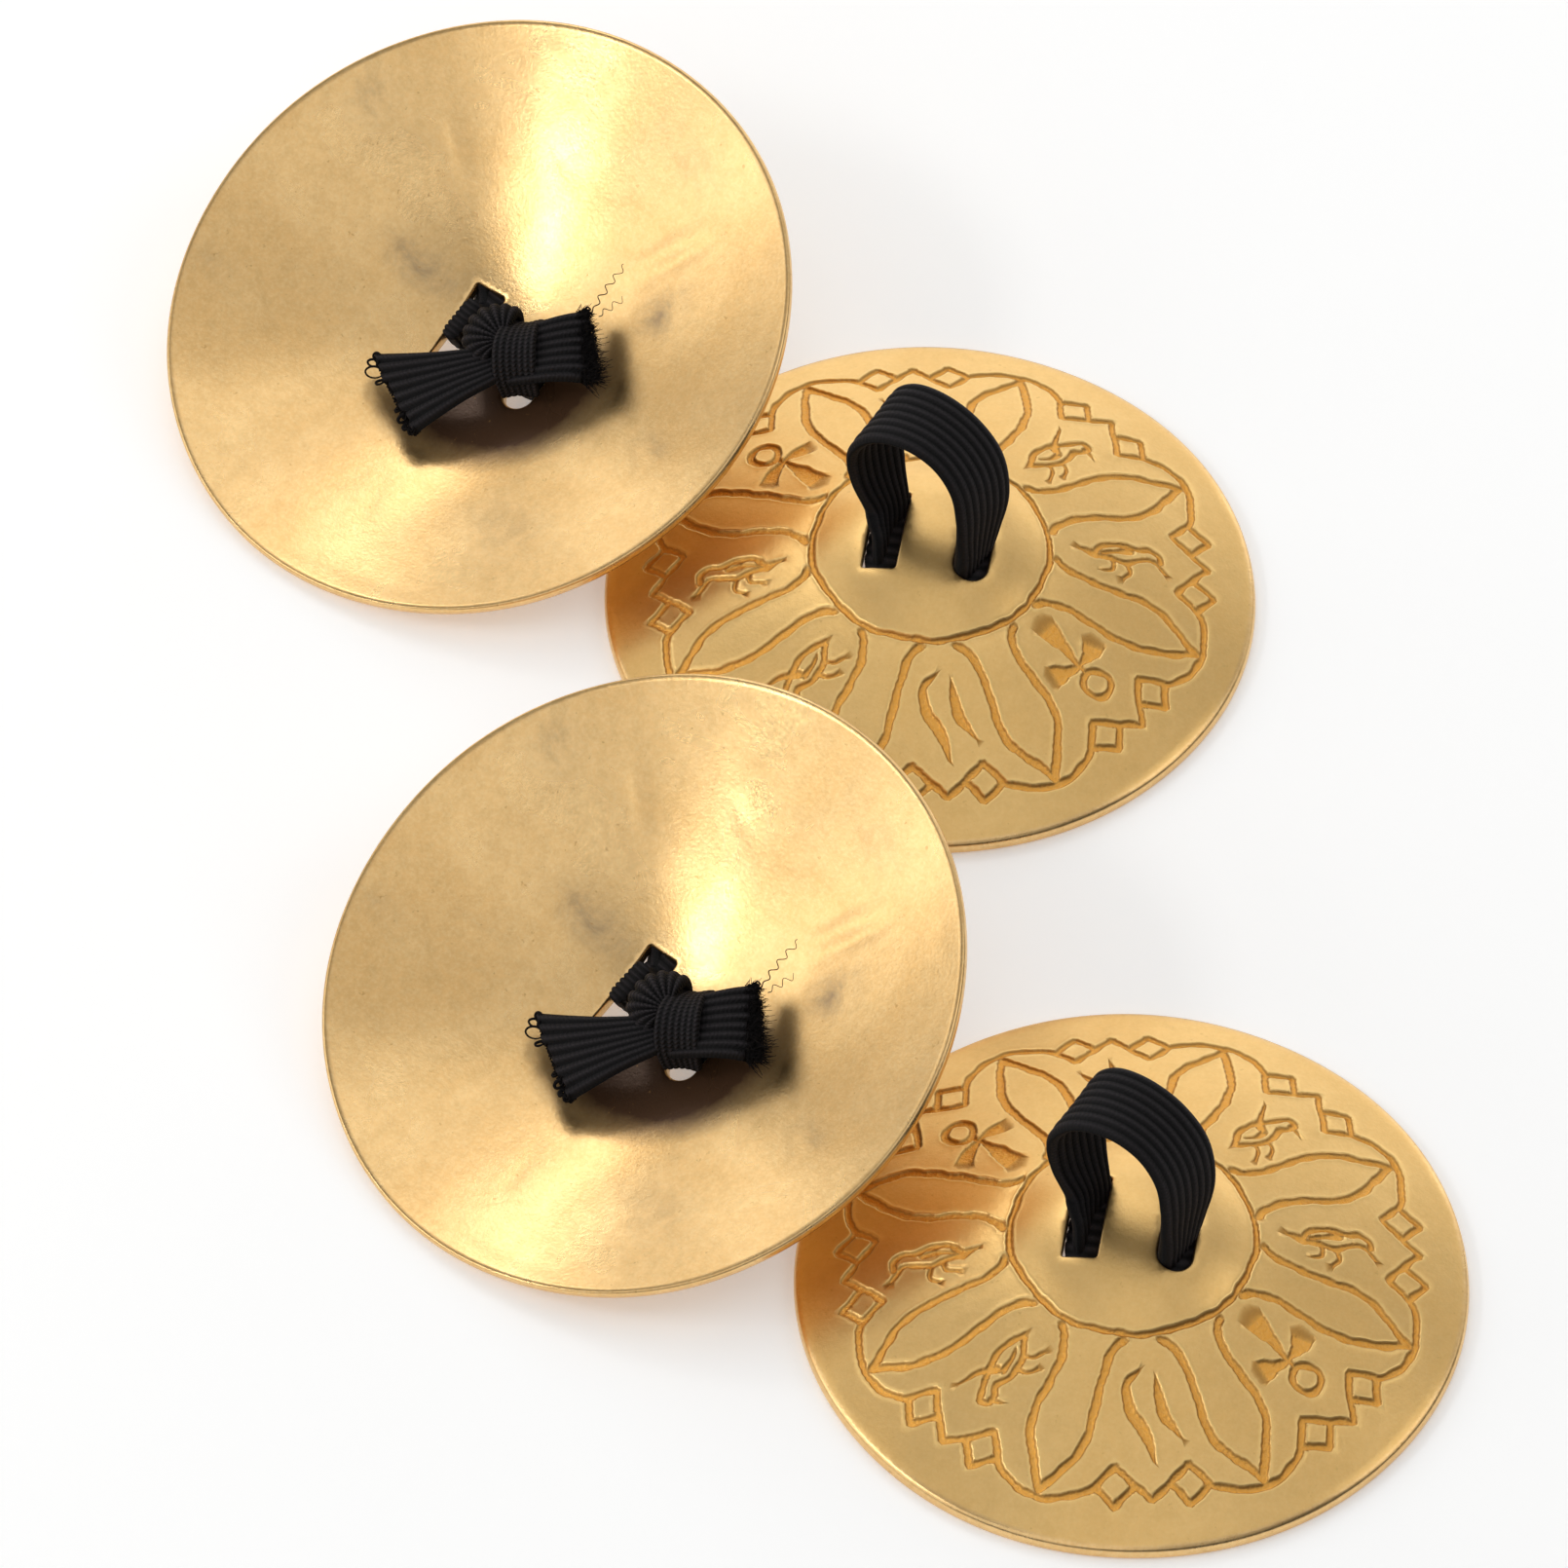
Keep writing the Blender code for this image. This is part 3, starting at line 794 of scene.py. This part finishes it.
def inside_polygon(points, polygon):
    """Which points lie inside a polygon."""
    inside = np.zeros(len(points), bool)
    for a, b in zip(polygon, np.roll(polygon, -1, 0)):
        crosses = (a[1] > points[:, 1]) != (b[1] > points[:, 1])
        slope = (b[0] - a[0]) / (b[1] - a[1] + 1e-12)
        inside ^= crosses & (points[:, 0] < a[0] + slope * (points[:, 1] - a[1]))
    return inside


class Disc:
    """Collects the disc's points and faces."""

    def __init__(self):
        self.coords = []
        self.faces = []
        self.total = 0

    def add(self, xy, height):
        """Add points, each at its height, and give their numbers."""
        first = self.total
        self.coords.append(np.column_stack([xy, np.broadcast_to(height, (len(xy),))]))
        self.total += len(xy)
        return list(range(first, self.total))

    def join(self, loops):
        """Quads between closed rings of point numbers, each ring to the next."""
        for first, second in zip(loops, loops[1:]):
            count = len(first)
            for i in range(count):
                k = (i + 1) % count
                self.faces.append((first[i], second[i], second[k], first[k]))


def outer_points(strokes):
    """Where the outer face has points: rows beside every groove, an even spread between them."""
    spread = np.vstack([
        polar_fill(0.3, 10.0, 0.55), polar_fill(10.0, 26.4, 0.5), polar_fill(26.4, 28.1, 0.55)])
    spread = spread[groove_gap(spread, strokes) > 0.42]
    points = thin_out(np.vstack([beside_strokes(strokes), spread]), 0.075)
    points = points[~in_slot(points, SLOT_MARGIN)]
    return points[np.hypot(*points.T) < ENGRAVED_EDGE - 0.15]


def inner_points():
    """Where the inner face has points: an even spread."""
    points = polar_fill(0.3, 28.5, 0.42)
    return points[~in_slot(points, SLOT_MARGIN)]


# The rounded rim from the outer face to the inner one: radius and height.
RIM_PROFILE = (
    (28.6, 1.31), (28.8, 1.2), (28.93, 1.02), (29.0, 0.7), (29.0, 0.42), (28.95, 0.2), (28.85, 0.07))
# A slot's rings from the outer face to the inner one: margin round the slot, and height over the nearer face.
SLOT_GROWS = (0.2, 0.07, 0.0, 0.0, 0.07, 0.2)
SLOT_DROPS = (-0.05, -0.22, 0.22, 0.05)


def cymbal_mesh():
    """The engraved disc: outer face, rim, inner face and slot walls in one closed mesh."""
    angles = tau * np.arange(RIM_STEPS) / RIM_STEPS
    around = polar(1.0, angles)
    strokes = all_strokes()
    slots = [slot_rings(side, SLOT_GROWS) for side in (-1, 1)]
    top_rim, low_rim = around * ENGRAVED_EDGE, around * INNER_RIM
    top_xy, top_faces, top_map = face_mesh(outer_points(strokes), [slot[0] for slot in slots], top_rim)
    low_xy, low_faces, low_map = face_mesh(inner_points(), [slot[-1] for slot in slots], low_rim)

    relief, groove, burr = groove_relief(groove_gap(top_xy, strokes))
    lip = np.exp(-(np.maximum(slot_distance(top_xy), 0.0) / 0.5) ** 2)
    top_waves, low_waves = UNEVEN_HEIGHT * uneven(top_xy, 7.0, 3.0), UNEVEN_HEIGHT * uneven(low_xy, 6.0, 9.0)
    top_z = outer_height(np.hypot(*top_xy.T)) + relief + top_waves - SLOT_DIP * lip
    low_radius = np.hypot(*low_xy.T)
    fade = 1.0 - smoothstep(26.4, 28.0, low_radius)
    low_z = inner_height(low_radius) + fade * (low_waves - crease_height(low_xy))

    disc = Disc()
    top, low = disc.add(top_xy, top_z), disc.add(low_xy, low_z)
    disc.faces += [tuple(f) for f in top_faces] + [tuple(f[::-1]) for f in low_faces + len(top)]
    wave = 1.0 + 0.0016 * np.sin(3 * angles + 1.0) + 0.0011 * np.sin(7 * angles + 2.2)
    rings = [disc.add(around * (radius * wave)[:, None], height) for radius, height in RIM_PROFILE]
    loop = range(RIM_STEPS)
    disc.join([[top[top_map[i]] for i in loop], *rings, [low[low_map[i]] for i in loop]])
    for slot in slots:
        loop = range(loop.stop, loop.stop + len(slot[0]))
        rings = []
        for ring, drop in zip(slot[1:-1], SLOT_DROPS):
            radius = np.hypot(*ring.T)
            level = outer_height(radius) - SLOT_DIP if drop < 0 else inner_height(radius)
            rings.append(disc.add(ring, level + drop))
        disc.join([[top[top_map[i]] for i in loop], *rings, [low[low_map[i]] for i in loop]])

    coords = np.vstack(disc.coords)
    mesh = bpy.data.meshes.new("engraved_disc")
    mesh.from_pydata((coords * MM).tolist(), [], disc.faces)
    shares = (groove, burr, smudge_share(low_xy), knot_shade_share(low_xy), np.ones(len(top)))
    for name, first, values in zip(SHARES, (0, 0, len(top), len(top), 0), shares):
        every = np.zeros(len(coords))
        every[first:first + len(values)] = values
        store(mesh, name, every)
    tidy_normals(mesh)
    return mesh


def slot_distance(xy):
    """Rough distance to the nearer slot's outline."""
    x = np.minimum(np.abs(xy[:, 0] - SLOT_X), np.abs(xy[:, 0] + SLOT_X)) - SLOT_HALF_WIDTH
    y = np.abs(xy[:, 1]) - SLOT_HALF_LENGTH
    return np.hypot(np.maximum(x, 0.0), np.maximum(y, 0.0))


def store(mesh, name, values):
    """A value for each vertex."""
    layer = mesh.attributes.new(name, "FLOAT", "POINT")
    layer.data.foreach_set("value", np.asarray(values, np.float32))


def tidy_normals(mesh):
    """Turn faces outward and shade smoothly."""
    shape = bmesh.new()
    shape.from_mesh(mesh)
    bmesh.ops.recalc_face_normals(shape, faces=shape.faces)
    shape.to_mesh(mesh)
    shape.free()
    mesh.shade_smooth()


# ---- strap

class Shells:
    """Collects closed shells, with UVs, into one mesh."""

    def __init__(self):
        self.coords = []
        self.faces = []
        self.uvs = []
        self.knits = []
        self.total = 0

    def skin(self, points, uv, knit):
        """Quads around a sweep of closed rings. Gives the points' numbers."""
        rows, count = points.shape[:2]
        number = self.total + np.arange(rows * count).reshape(rows, count)
        self.coords.append(points.reshape(-1, 3))
        self.knits.append(np.full(rows * count, knit))
        self.total += rows * count
        for i in range(rows - 1):
            for j in range(count):
                k = (j + 1) % count
                ahead = k or j
                self.faces.append((number[i, j], number[i, k], number[i + 1, k], number[i + 1, j]))
                self.uvs.append((uv[i, j], uv[i, ahead], uv[i + 1, ahead], uv[i + 1, j]))
        return number

    def band(self, points, uv, knit):
        """A closed flat band: each ring runs along its top and back along its bottom."""
        number = self.skin(points, uv, knit)
        count = number.shape[1]
        for row, turn in ((0, -1), (-1, 1)):
            for j in range(count // 2 - 1):
                back = count - 1 - j
                face = (number[row, j], number[row, j + 1], number[row, back - 1], number[row, back])
                self.faces.append(face[::turn])
                self.uvs.append((uv[row, j], uv[row, j + 1], uv[row, j + 1], uv[row, j])[::turn])

    def thread(self, points):
        """A closed round thread."""
        uv = np.zeros(points.shape[:2] + (2,))
        number = self.skin(points, uv, 0.0)
        for row, turn in ((0, -1), (-1, 1)):
            self.faces.append(tuple(number[row, ::turn]))
            self.uvs.append(tuple(uv[row]))

    def mesh(self, name, matrix):
        """One mesh in world metres."""
        coords = np.vstack(self.coords) * MM
        turn = np.array(matrix.to_3x3())
        coords = coords @ turn.T + np.array(matrix.translation)
        mesh = bpy.data.meshes.new(name)
        mesh.from_pydata(coords.tolist(), [], self.faces)
        layer = mesh.uv_layers.new(name="UVMap")
        flat = np.array([corner for face in self.uvs for corner in face], np.float32)
        layer.data.foreach_set("uv", flat.ravel())
        store(mesh, "knit", np.concatenate(self.knits))
        tidy_normals(mesh)
        return mesh


def unit(vectors):
    """Vectors scaled to length 1."""
    return vectors / np.linalg.norm(vectors, axis=-1, keepdims=True)


def section(ribs):
    """Across the band: places from -1 to 1 along the top, then back along the bottom."""
    top = np.linspace(-1.0, 1.0, ribs * POINTS_PER_RIB + 1)
    return np.concatenate([top, top[::-1]]), np.concatenate([np.ones(len(top)), -np.ones(len(top))])


def run_length(path):
    """How far along its path each point is."""
    return np.concatenate([[0.0], np.cumsum(np.linalg.norm(np.diff(path, axis=0), axis=1))])


def add_band(shells, path, across, widths, thickness, ribs=RIBS, rib=0.13, end_cut=None, crown=0.0, knit=1.0,
             square=True):
    """A ribbed elastic band swept along a path. Its far end may be cut unevenly, rib by rib."""
    tangent = unit(np.gradient(path, axis=0))
    if square:
        across = unit(across - (across * tangent).sum(1)[:, None] * tangent)
    out = unit(np.cross(tangent, across))
    place, face = section(ribs)
    edge = np.sqrt(np.clip(1.0 - np.abs(place) ** 7, 0.0, 1.0))
    wave = np.abs(np.sin(pi * ribs * (place + 1.0) / 2.0)) ** 0.8
    rows = len(path)
    thick = np.broadcast_to(thickness, (rows,))[:, None]
    rib_rows = np.broadcast_to(rib, (rows,))[:, None]
    half = thick / 2.0 * edge + rib_rows * (wave - 1.0) * edge
    arch = crown * (1.0 - place ** 2)
    shift = np.zeros((rows, len(place)))
    length = run_length(path)
    if end_cut is not None:
        number = np.clip(((place + 1.0) / 2.0 * ribs).astype(int), 0, ribs - 1)
        near = np.exp(-((length[-1] - length) / CUT_REACH) ** 2)[:, None]
        shift += near * end_cut[number]
    points = path[:, None] + across[:, None] * (place[None, :, None] * (widths[:, None, None] / 2.0))
    points = points + out[:, None] * (face * half + arch)[..., None] + tangent[:, None] * shift[..., None]
    uv = np.empty((rows, len(place), 2))
    uv[..., 0] = (place + 1.0) / 2.0 * ribs
    uv[..., 1] = length[:, None]
    shells.band(points, uv, knit)


# The standing loop: x, y, z, the band's across direction as azimuth from +Y and elevation, and its width.
STANDING_LOOP = (
    (-3.7, -0.4, 5.6, 0, 0, 7.4),
    (-3.95, -0.2, 7.2, 2, 0, 7.6),
    (-4.05, 1.0, 8.5, 14, -3, 6.0),
    (-4.35, 2.3, 10.0, 34, -4, 4.8),
    (-5.4, 3.3, 13.3, 41, -2, 5.9),
    (-5.95, 3.9, 17.0, 31, -1, 6.8),
    (-5.2, 3.7, 19.9, 19, 1, 7.0),
    (-3.3, 3.15, 21.4, 15, 3, 7.2),
    (-0.6, 2.3, 21.45, 17, 1, 7.3),
    (2.0, 1.4, 20.1, 22, -1, 7.3),
    (3.9, 0.5, 17.6, 28, -4, 7.3),
    (4.6, -0.4, 14.5, 32, -12, 7.0),
    (4.4, -1.2, 11.6, 29, -18, 6.0),
    (4.1, -1.9, 9.3, 24, -20, 4.7),
    (4.1, -1.3, 8.0, 10, -8, 5.6),
    (4.05, -0.6, 6.8, 0, 0, 7.0),
    (4.0, -0.5, 5.2, 0, 0, 7.0),
)


def station_rows(stations, step):
    """Path, across directions and widths from (x, y, z, azimuth, elevation, width) stations."""
    rows = smooth_path(stations, step)
    azimuth, elevation = np.radians(rows[:, 3]), np.radians(rows[:, 4])
    level = np.cos(elevation)
    across = np.stack([np.sin(azimuth) * level, np.cos(azimuth) * level, np.sin(elevation)], 1)
    return rows[:, :3], across, rows[:, 5]


def folded_loop_stations(fold):
    """The same band folded over: an arch that lies on its edge, on the uphill side of the dome."""
    arch_width = 6.7
    arch = ((-7.2, 5.0), (-7.6, 8.6), (-5.6, 12.6), (0.0, 14.5), (5.6, 12.6), (7.6, 8.6), (7.2, 5.0))
    foot = [(4.0, 0.3, 6.0, 0.0), (4.1, 0.1, 8.0, 0.0), (4.5, -0.7, 9.9, 0.35), (5.7, -2.4, 10.7, 0.75)]
    widths = (4.3, 4.4, 4.8, 5.6)
    elevation = np.degrees(fold)
    out = [(-x, y, z, 0.0, elevation * share, w) for (x, y, z, share), w in zip(foot, widths)]
    for x, z in arch:
        out.append((x, -z * sin(fold), PIVOT_HEIGHT + z * cos(fold), 0.0, elevation, arch_width))
    out += [(x, y, z, 0.0, elevation * share, w) for (x, y, z, share), w in zip(foot[::-1], widths[::-1])]
    return out


def add_slot_filling(shells, middle, length, low):
    """The elastic folded up inside both slots, about a middle and up from a height."""
    rows = 5
    for side in (-1.0, 1.0):
        heights = np.linspace(low, low + FILLING_RISE, rows)
        path = np.column_stack([np.full(rows, side * SLOT_X), np.full(rows, middle), heights])
        add_band(shells, path, np.tile((0.0, 1.0, 0.0), (rows, 1)), np.full(rows, length), SLOT_FILLING)


# The knot's bands: x, y, z and width at each station.
WRAP = ((1.6, -3.1, 6.2, 3.0), (2.1, -2.5, 4.4, 3.2), (2.75, -1.55, 2.95, 3.6), (3.6, -0.25, 2.35, 4.0),
        (4.6, 1.15, 2.8, 4.1), (5.3, 2.1, 4.0, 4.0), (5.7, 2.6, 5.8, 3.6))
UNDER_WRAP = ((0.2, -0.4, 5.4, 4.0), (2.0, 0.0, 4.6, 4.6), (4.0, 0.0, 4.6, 4.6), (5.4, -0.4, 5.2, 4.2))
LEFT_TAIL = ((3.1, 0.6, 4.2, 3.4), (2.4, 2.5, 3.8, 3.9), (0.6, 5.2, 3.6, 5.4), (-1.3, 7.7, 3.75, 7.4),
             (-3.0, 9.6, 4.25, 9.2))
RIGHT_TAIL = ((3.3, 1.1, 4.3, 5.0), (4.7, -0.35, 3.8, 5.7), (6.0, -1.7, 3.6, 6.2), (7.2, -3.0, 3.8, 6.7),
              (8.1, -4.0, 4.3, 7.1))


def add_crossing(shells, stations, step, across, thickness, **shape):
    """A band of the knot that keeps one across direction."""
    rows = smooth_path(stations, step)
    add_band(shells, rows[:, :3], np.tile(across, (len(rows), 1)), rows[:, 3], thickness, **shape)


def add_tail(shells, chance, stations, start, end):
    """A tail of the knot, turned from one across direction to another and cut off unevenly."""
    rows = smooth_path(stations, 0.3)
    share = evenly(len(rows))[:, None]
    across = unit(np.array(start) * (1.0 - share) + np.array(end) * share)
    end_cut = np.array([chance.uniform(-0.3, 0.4) for _ in range(RIBS)])
    thickness = STRAP_THICKNESS + 0.3 * share[:, 0] ** 3
    rib = 0.15 + 0.16 * share[:, 0] ** 2
    add_band(shells, rows[:, :3], across, rows[:, 3], thickness, rib=rib, end_cut=end_cut, knit=0.35,
             square=False)


def add_knot(shells, seed):
    """The knot inside the dome: a pleated fold out of the left slot, a wrap across and two tails."""
    chance = random.Random(seed)
    add_pleats(shells)
    add_crossing(shells, WRAP, 0.3, (0.80, -0.60, 0.0), 1.3, ribs=7, rib=0.1, crown=-0.45)
    add_crossing(shells, UNDER_WRAP, 0.4, (0.0, 1.0, 0.0), 1.6, rib=0.1)
    add_tail(shells, chance, LEFT_TAIL, (0.82, 0.50, 0.0), (0.92, 0.39, 0.0))
    add_tail(shells, chance, RIGHT_TAIL, (0.69, 0.72, 0.0), (0.69, 0.72, 0.0))


# How far the pleats reach from their centre, round the fan.
PLEAT_REACH = (0.86, 1.00, 1.12, 1.08, 0.90, 0.64)


def add_pleats(shells):
    """The band gathered out of the left slot: pleats that fan over a rounded fold edge."""
    centre = (2.25, 0.0)
    first_angle, fan_angle = 108.0, 162.0
    pleats, points_per_pleat = 10, 7
    pleat_depth, underside = 0.34, -0.95
    profile = ((0.2, 3.1), (1.4, 2.6), (2.7, 2.6), (3.6, 3.0), (4.1, 3.8), (4.1, 4.8), (3.6, 5.9), (3.0, 7.2))
    curve = smooth_path(profile, 0.22)
    share = evenly(pleats * points_per_pleat + 1)
    angles = np.radians(first_angle + fan_angle * share)
    ridge = np.abs(np.sin(pi * pleats * share)) ** 0.7
    reach = np.interp(share, evenly(len(PLEAT_REACH)), PLEAT_REACH)
    length = run_length(curve)
    ahead = unit(np.gradient(curve, axis=0))
    outward = np.column_stack([ahead[:, 1], -ahead[:, 0]])
    fade = smoothstep(0.3, 1.6, length)[:, None]
    rings = []
    for rise in (pleat_depth * (ridge - 1.0) * fade, np.full((len(curve), len(share)), underside)):
        gathered = curve[:, None] + outward[:, None] * rise[..., None]
        distance = np.maximum(gathered[..., 0], 0.05) * reach
        x, y = centre[0] + distance * np.cos(angles), centre[1] - distance * np.sin(angles)
        rings.append(np.stack([x, y, gathered[..., 1]], -1))
    closed = np.concatenate([rings[0], rings[1][:, ::-1]], 1)
    uv = np.empty(closed.shape[:2] + (2,))
    across = share * pleats
    uv[..., 0] = np.concatenate([across, across[::-1]])
    uv[..., 1] = length[:, None]
    shells.band(closed, uv, 1.0)


def strap_mesh(name, matrix):
    """One cymbal's whole strap: finger loop, legs, knot and tails."""
    shells = Shells()
    if is_flat(name):
        stations = STANDING_LOOP
    else:
        tilt = atan2(hypot(matrix[0][2], matrix[1][2]), -matrix[2][2])
        stations = folded_loop_stations(pi / 2.0 - tilt)
    path, across, widths = station_rows(stations, 0.34)
    thickness = np.clip(STRAP_AREA / widths, STRAP_THICKNESS, STRAP_THICKEST)
    add_band(shells, path, across, widths, thickness, rib=0.19, knit=0.15)
    if is_flat(name):
        add_slot_filling(shells, 0.0, 9.6, 7.9)
    else:
        add_slot_filling(shells, -0.9, 6.2, 8.3)
    add_knot(shells, 11)
    return shells.mesh(name + "_strap_band", matrix)


# ---- loose threads

STUBS = 70
STUB_RADIUS = 0.13
FUZZ_RADIUS = 0.045
CURL_STEPS = 60


def add_thread(shells, points, radius, sides=5):
    """A thin round thread along a path, thinner at its tip."""
    points = np.asarray(points, float)
    tangent = unit(np.gradient(points, axis=0))
    first = unit(np.cross(tangent, np.array([0.31, 0.2, 0.93])))
    second = np.cross(tangent, first)
    angles = tau * np.arange(sides)[None, :, None] / sides
    size = radius * np.linspace(1.0, 0.55, len(points))[:, None, None]
    ring = first[:, None] * np.cos(angles) + second[:, None] * np.sin(angles)
    shells.thread(points[:, None] + ring * size)


def curly(chance, start, direction, length, curl, turns, steps):
    """A springy thread: it winds about its way out and bends a little to one side."""
    start, direction = np.array(start, float), unit(np.array(direction, float))
    side = unit(np.cross(direction, [0.0, 0.0, 1.0]))
    lift = np.cross(direction, side)
    phase = chance.uniform(0.0, tau)
    share = evenly(steps)[:, None]
    angle = phase + tau * turns * share
    spread = curl * np.minimum(1.0, share * 4.0)
    bend = chance.uniform(-0.25, 0.25) * length
    return (start + direction * length * share + side * (spread * np.sin(angle) + bend * share ** 2)
            + lift * spread * 0.6 * np.cos(angle))


def wisp(chance, start, direction, length):
    """A short fibre that leaves its way at random."""
    way = unit(direction + np.array([chance.gauss(0.0, 0.45) for _ in range(3)]))
    bow = unit(np.array([chance.gauss(0.0, 1.0) for _ in range(3)])) * length * chance.uniform(0.1, 0.5)
    share = evenly(7)[:, None]
    return start + way * length * share + bow * share * share


def small_loop(start, way, size, lift):
    """A little loop of rubber that stands out of a cut end and comes back."""
    way = unit(np.array(way, float))
    side = unit(np.cross(way, [0.0, 0.0, 1.0]))
    angle = np.linspace(-0.9 * pi, 0.9 * pi, 18)[:, None]
    return (np.array(start, float) + way * size * (1.0 + np.cos(angle)) + side * size * 0.62 * np.sin(angle)
            + np.array([0.0, 0.0, lift]) * np.sin(angle * 0.5))


def add_cut_end(shells, chance, left, right, way, count, reach):
    """The frayed cut end of one tail: fine fuzz, then thicker springy stubs, longer toward the right."""
    left, right, way = np.array(left), np.array(right), np.array(way)
    for _ in range(count):
        share = chance.random()
        start = left + (right - left) * share + [0.0, 0.0, chance.uniform(-0.6, 0.6)]
        start = start - way * chance.uniform(0.0, 0.5)
        length = reach * (0.45 + 0.55 * share) * chance.uniform(0.3, 1.0)
        add_thread(shells, wisp(chance, start, way, length), FUZZ_RADIUS, 4)
    for _ in range(STUBS):
        share = chance.random()
        start = left + (right - left) * share + [0.0, 0.0, chance.uniform(-0.45, 0.45)] - way * 0.35
        length = 0.5 + reach * (0.3 + 0.35 * share) * chance.uniform(0.4, 1.0)
        add_thread(shells, curly(chance, start, way, length, 0.26, 1.5, 14), STUB_RADIUS)


# The tails' cut ends: left corner, right corner, the way out, fine fibres and their reach.
CUT_ENDS = (
    ((-6.9, 7.9, 4.25), (1.1, 11.3, 4.25), (-0.50, 0.84, -0.20), 200, 0.9),
    ((5.7, -6.5, 4.3), (10.5, -1.6, 4.3), (0.70, -0.68, -0.22), 1500, 2.5),
)
# Long curls: start, the way out, length, size of the curl, turns and radius.
CURLS = (
    ((6.6, -6.9, 4.0), (-0.18, -1.0, -0.15), 5.2, 0.28, 4.5, 0.06),
    ((7.4, -7.0, 4.0), (0.25, -1.0, -0.1), 2.8, 0.3, 2.6, 0.045),
)
# Rubber loops: start, the way out, size, lift and radius.
RUBBER_LOOPS = (
    ((-6.3, 8.1, 4.1), (-1.0, -0.15, 0.0), 0.50, 0.3, 0.17),
    ((-6.1, 8.4, 4.1), (-1.0, 0.35, 0.0), 0.62, -0.2, 0.15),
    ((-5.4, 8.9, 4.1), (-1.0, 0.55, 0.0), 0.80, 0.2, 0.13),
    ((-4.6, 9.3, 4.1), (-0.8, 0.9, 0.0), 0.45, -0.3, 0.16),
    ((0.7, 11.0, 4.1), (0.1, 1.0, 0.0), 0.40, 0.2, 0.20),
    ((0.1, 10.9, 4.1), (-0.1, 1.0, 0.0), 0.45, -0.2, 0.22),
    ((-0.7, 10.7, 4.1), (-0.2, 1.0, 0.0), 0.42, 0.2, 0.20),
    ((-1.6, 10.3, 4.1), (-0.3, 1.0, 0.0), 0.34, -0.2, 0.18),
)


def fray_mesh(name, matrix):
    """Loose threads of one strap: cut ends, long curls and small loops."""
    chance = random.Random(5)
    shells = Shells()
    for cut_end in CUT_ENDS:
        add_cut_end(shells, chance, *cut_end)
    for *curl, radius in CURLS:
        add_thread(shells, curly(chance, *curl, CURL_STEPS), radius)
    for *loop, radius in RUBBER_LOOPS:
        add_thread(shells, small_loop(*loop), radius)
    return shells.mesh(name + "_fray", matrix)


# ---- the set

def link(name, mesh, material):
    """Add one object; a mesh that several share gets its material once."""
    item = bpy.data.objects.new(name, mesh)
    bpy.context.scene.collection.objects.link(item)
    if not mesh.materials:
        mesh.materials.append(material)
    return item


def add_cymbals():
    """The four cymbals with their straps and threads."""
    disc = cymbal_mesh()
    brass, elastic, threads = brass_material(), elastic_material(), fibre_material()
    for name in NAMES:
        matrix = cymbal_matrix(name)
        cymbal = link(name + "_disc", disc, brass)
        turn = 0.0 if is_flat(name) else LEANING_DISC_TURN
        cymbal.matrix_world = matrix @ Matrix.Rotation(turn, 4, "Z")
        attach(cymbal, name + "_cymbal")
        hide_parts(name + "_cymbal")

        strap = link(name + "_strap_band", strap_mesh(name, matrix), elastic)
        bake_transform(strap)
        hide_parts(name + "_strap_knot", name + "_strap_tail_a", name + "_strap_tail_b",
                    name + "_strap_loop")

        fray = link(name + "_fray", fray_mesh(name, matrix), threads)
        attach(fray, name + "_strap")


add_camera()
add_world(0.05)
for softbox in SOFTBOXES:
    add_softbox(*softbox)
add_floor()
add_cymbals()
bpy.context.scene.view_settings.view_transform = "Standard"
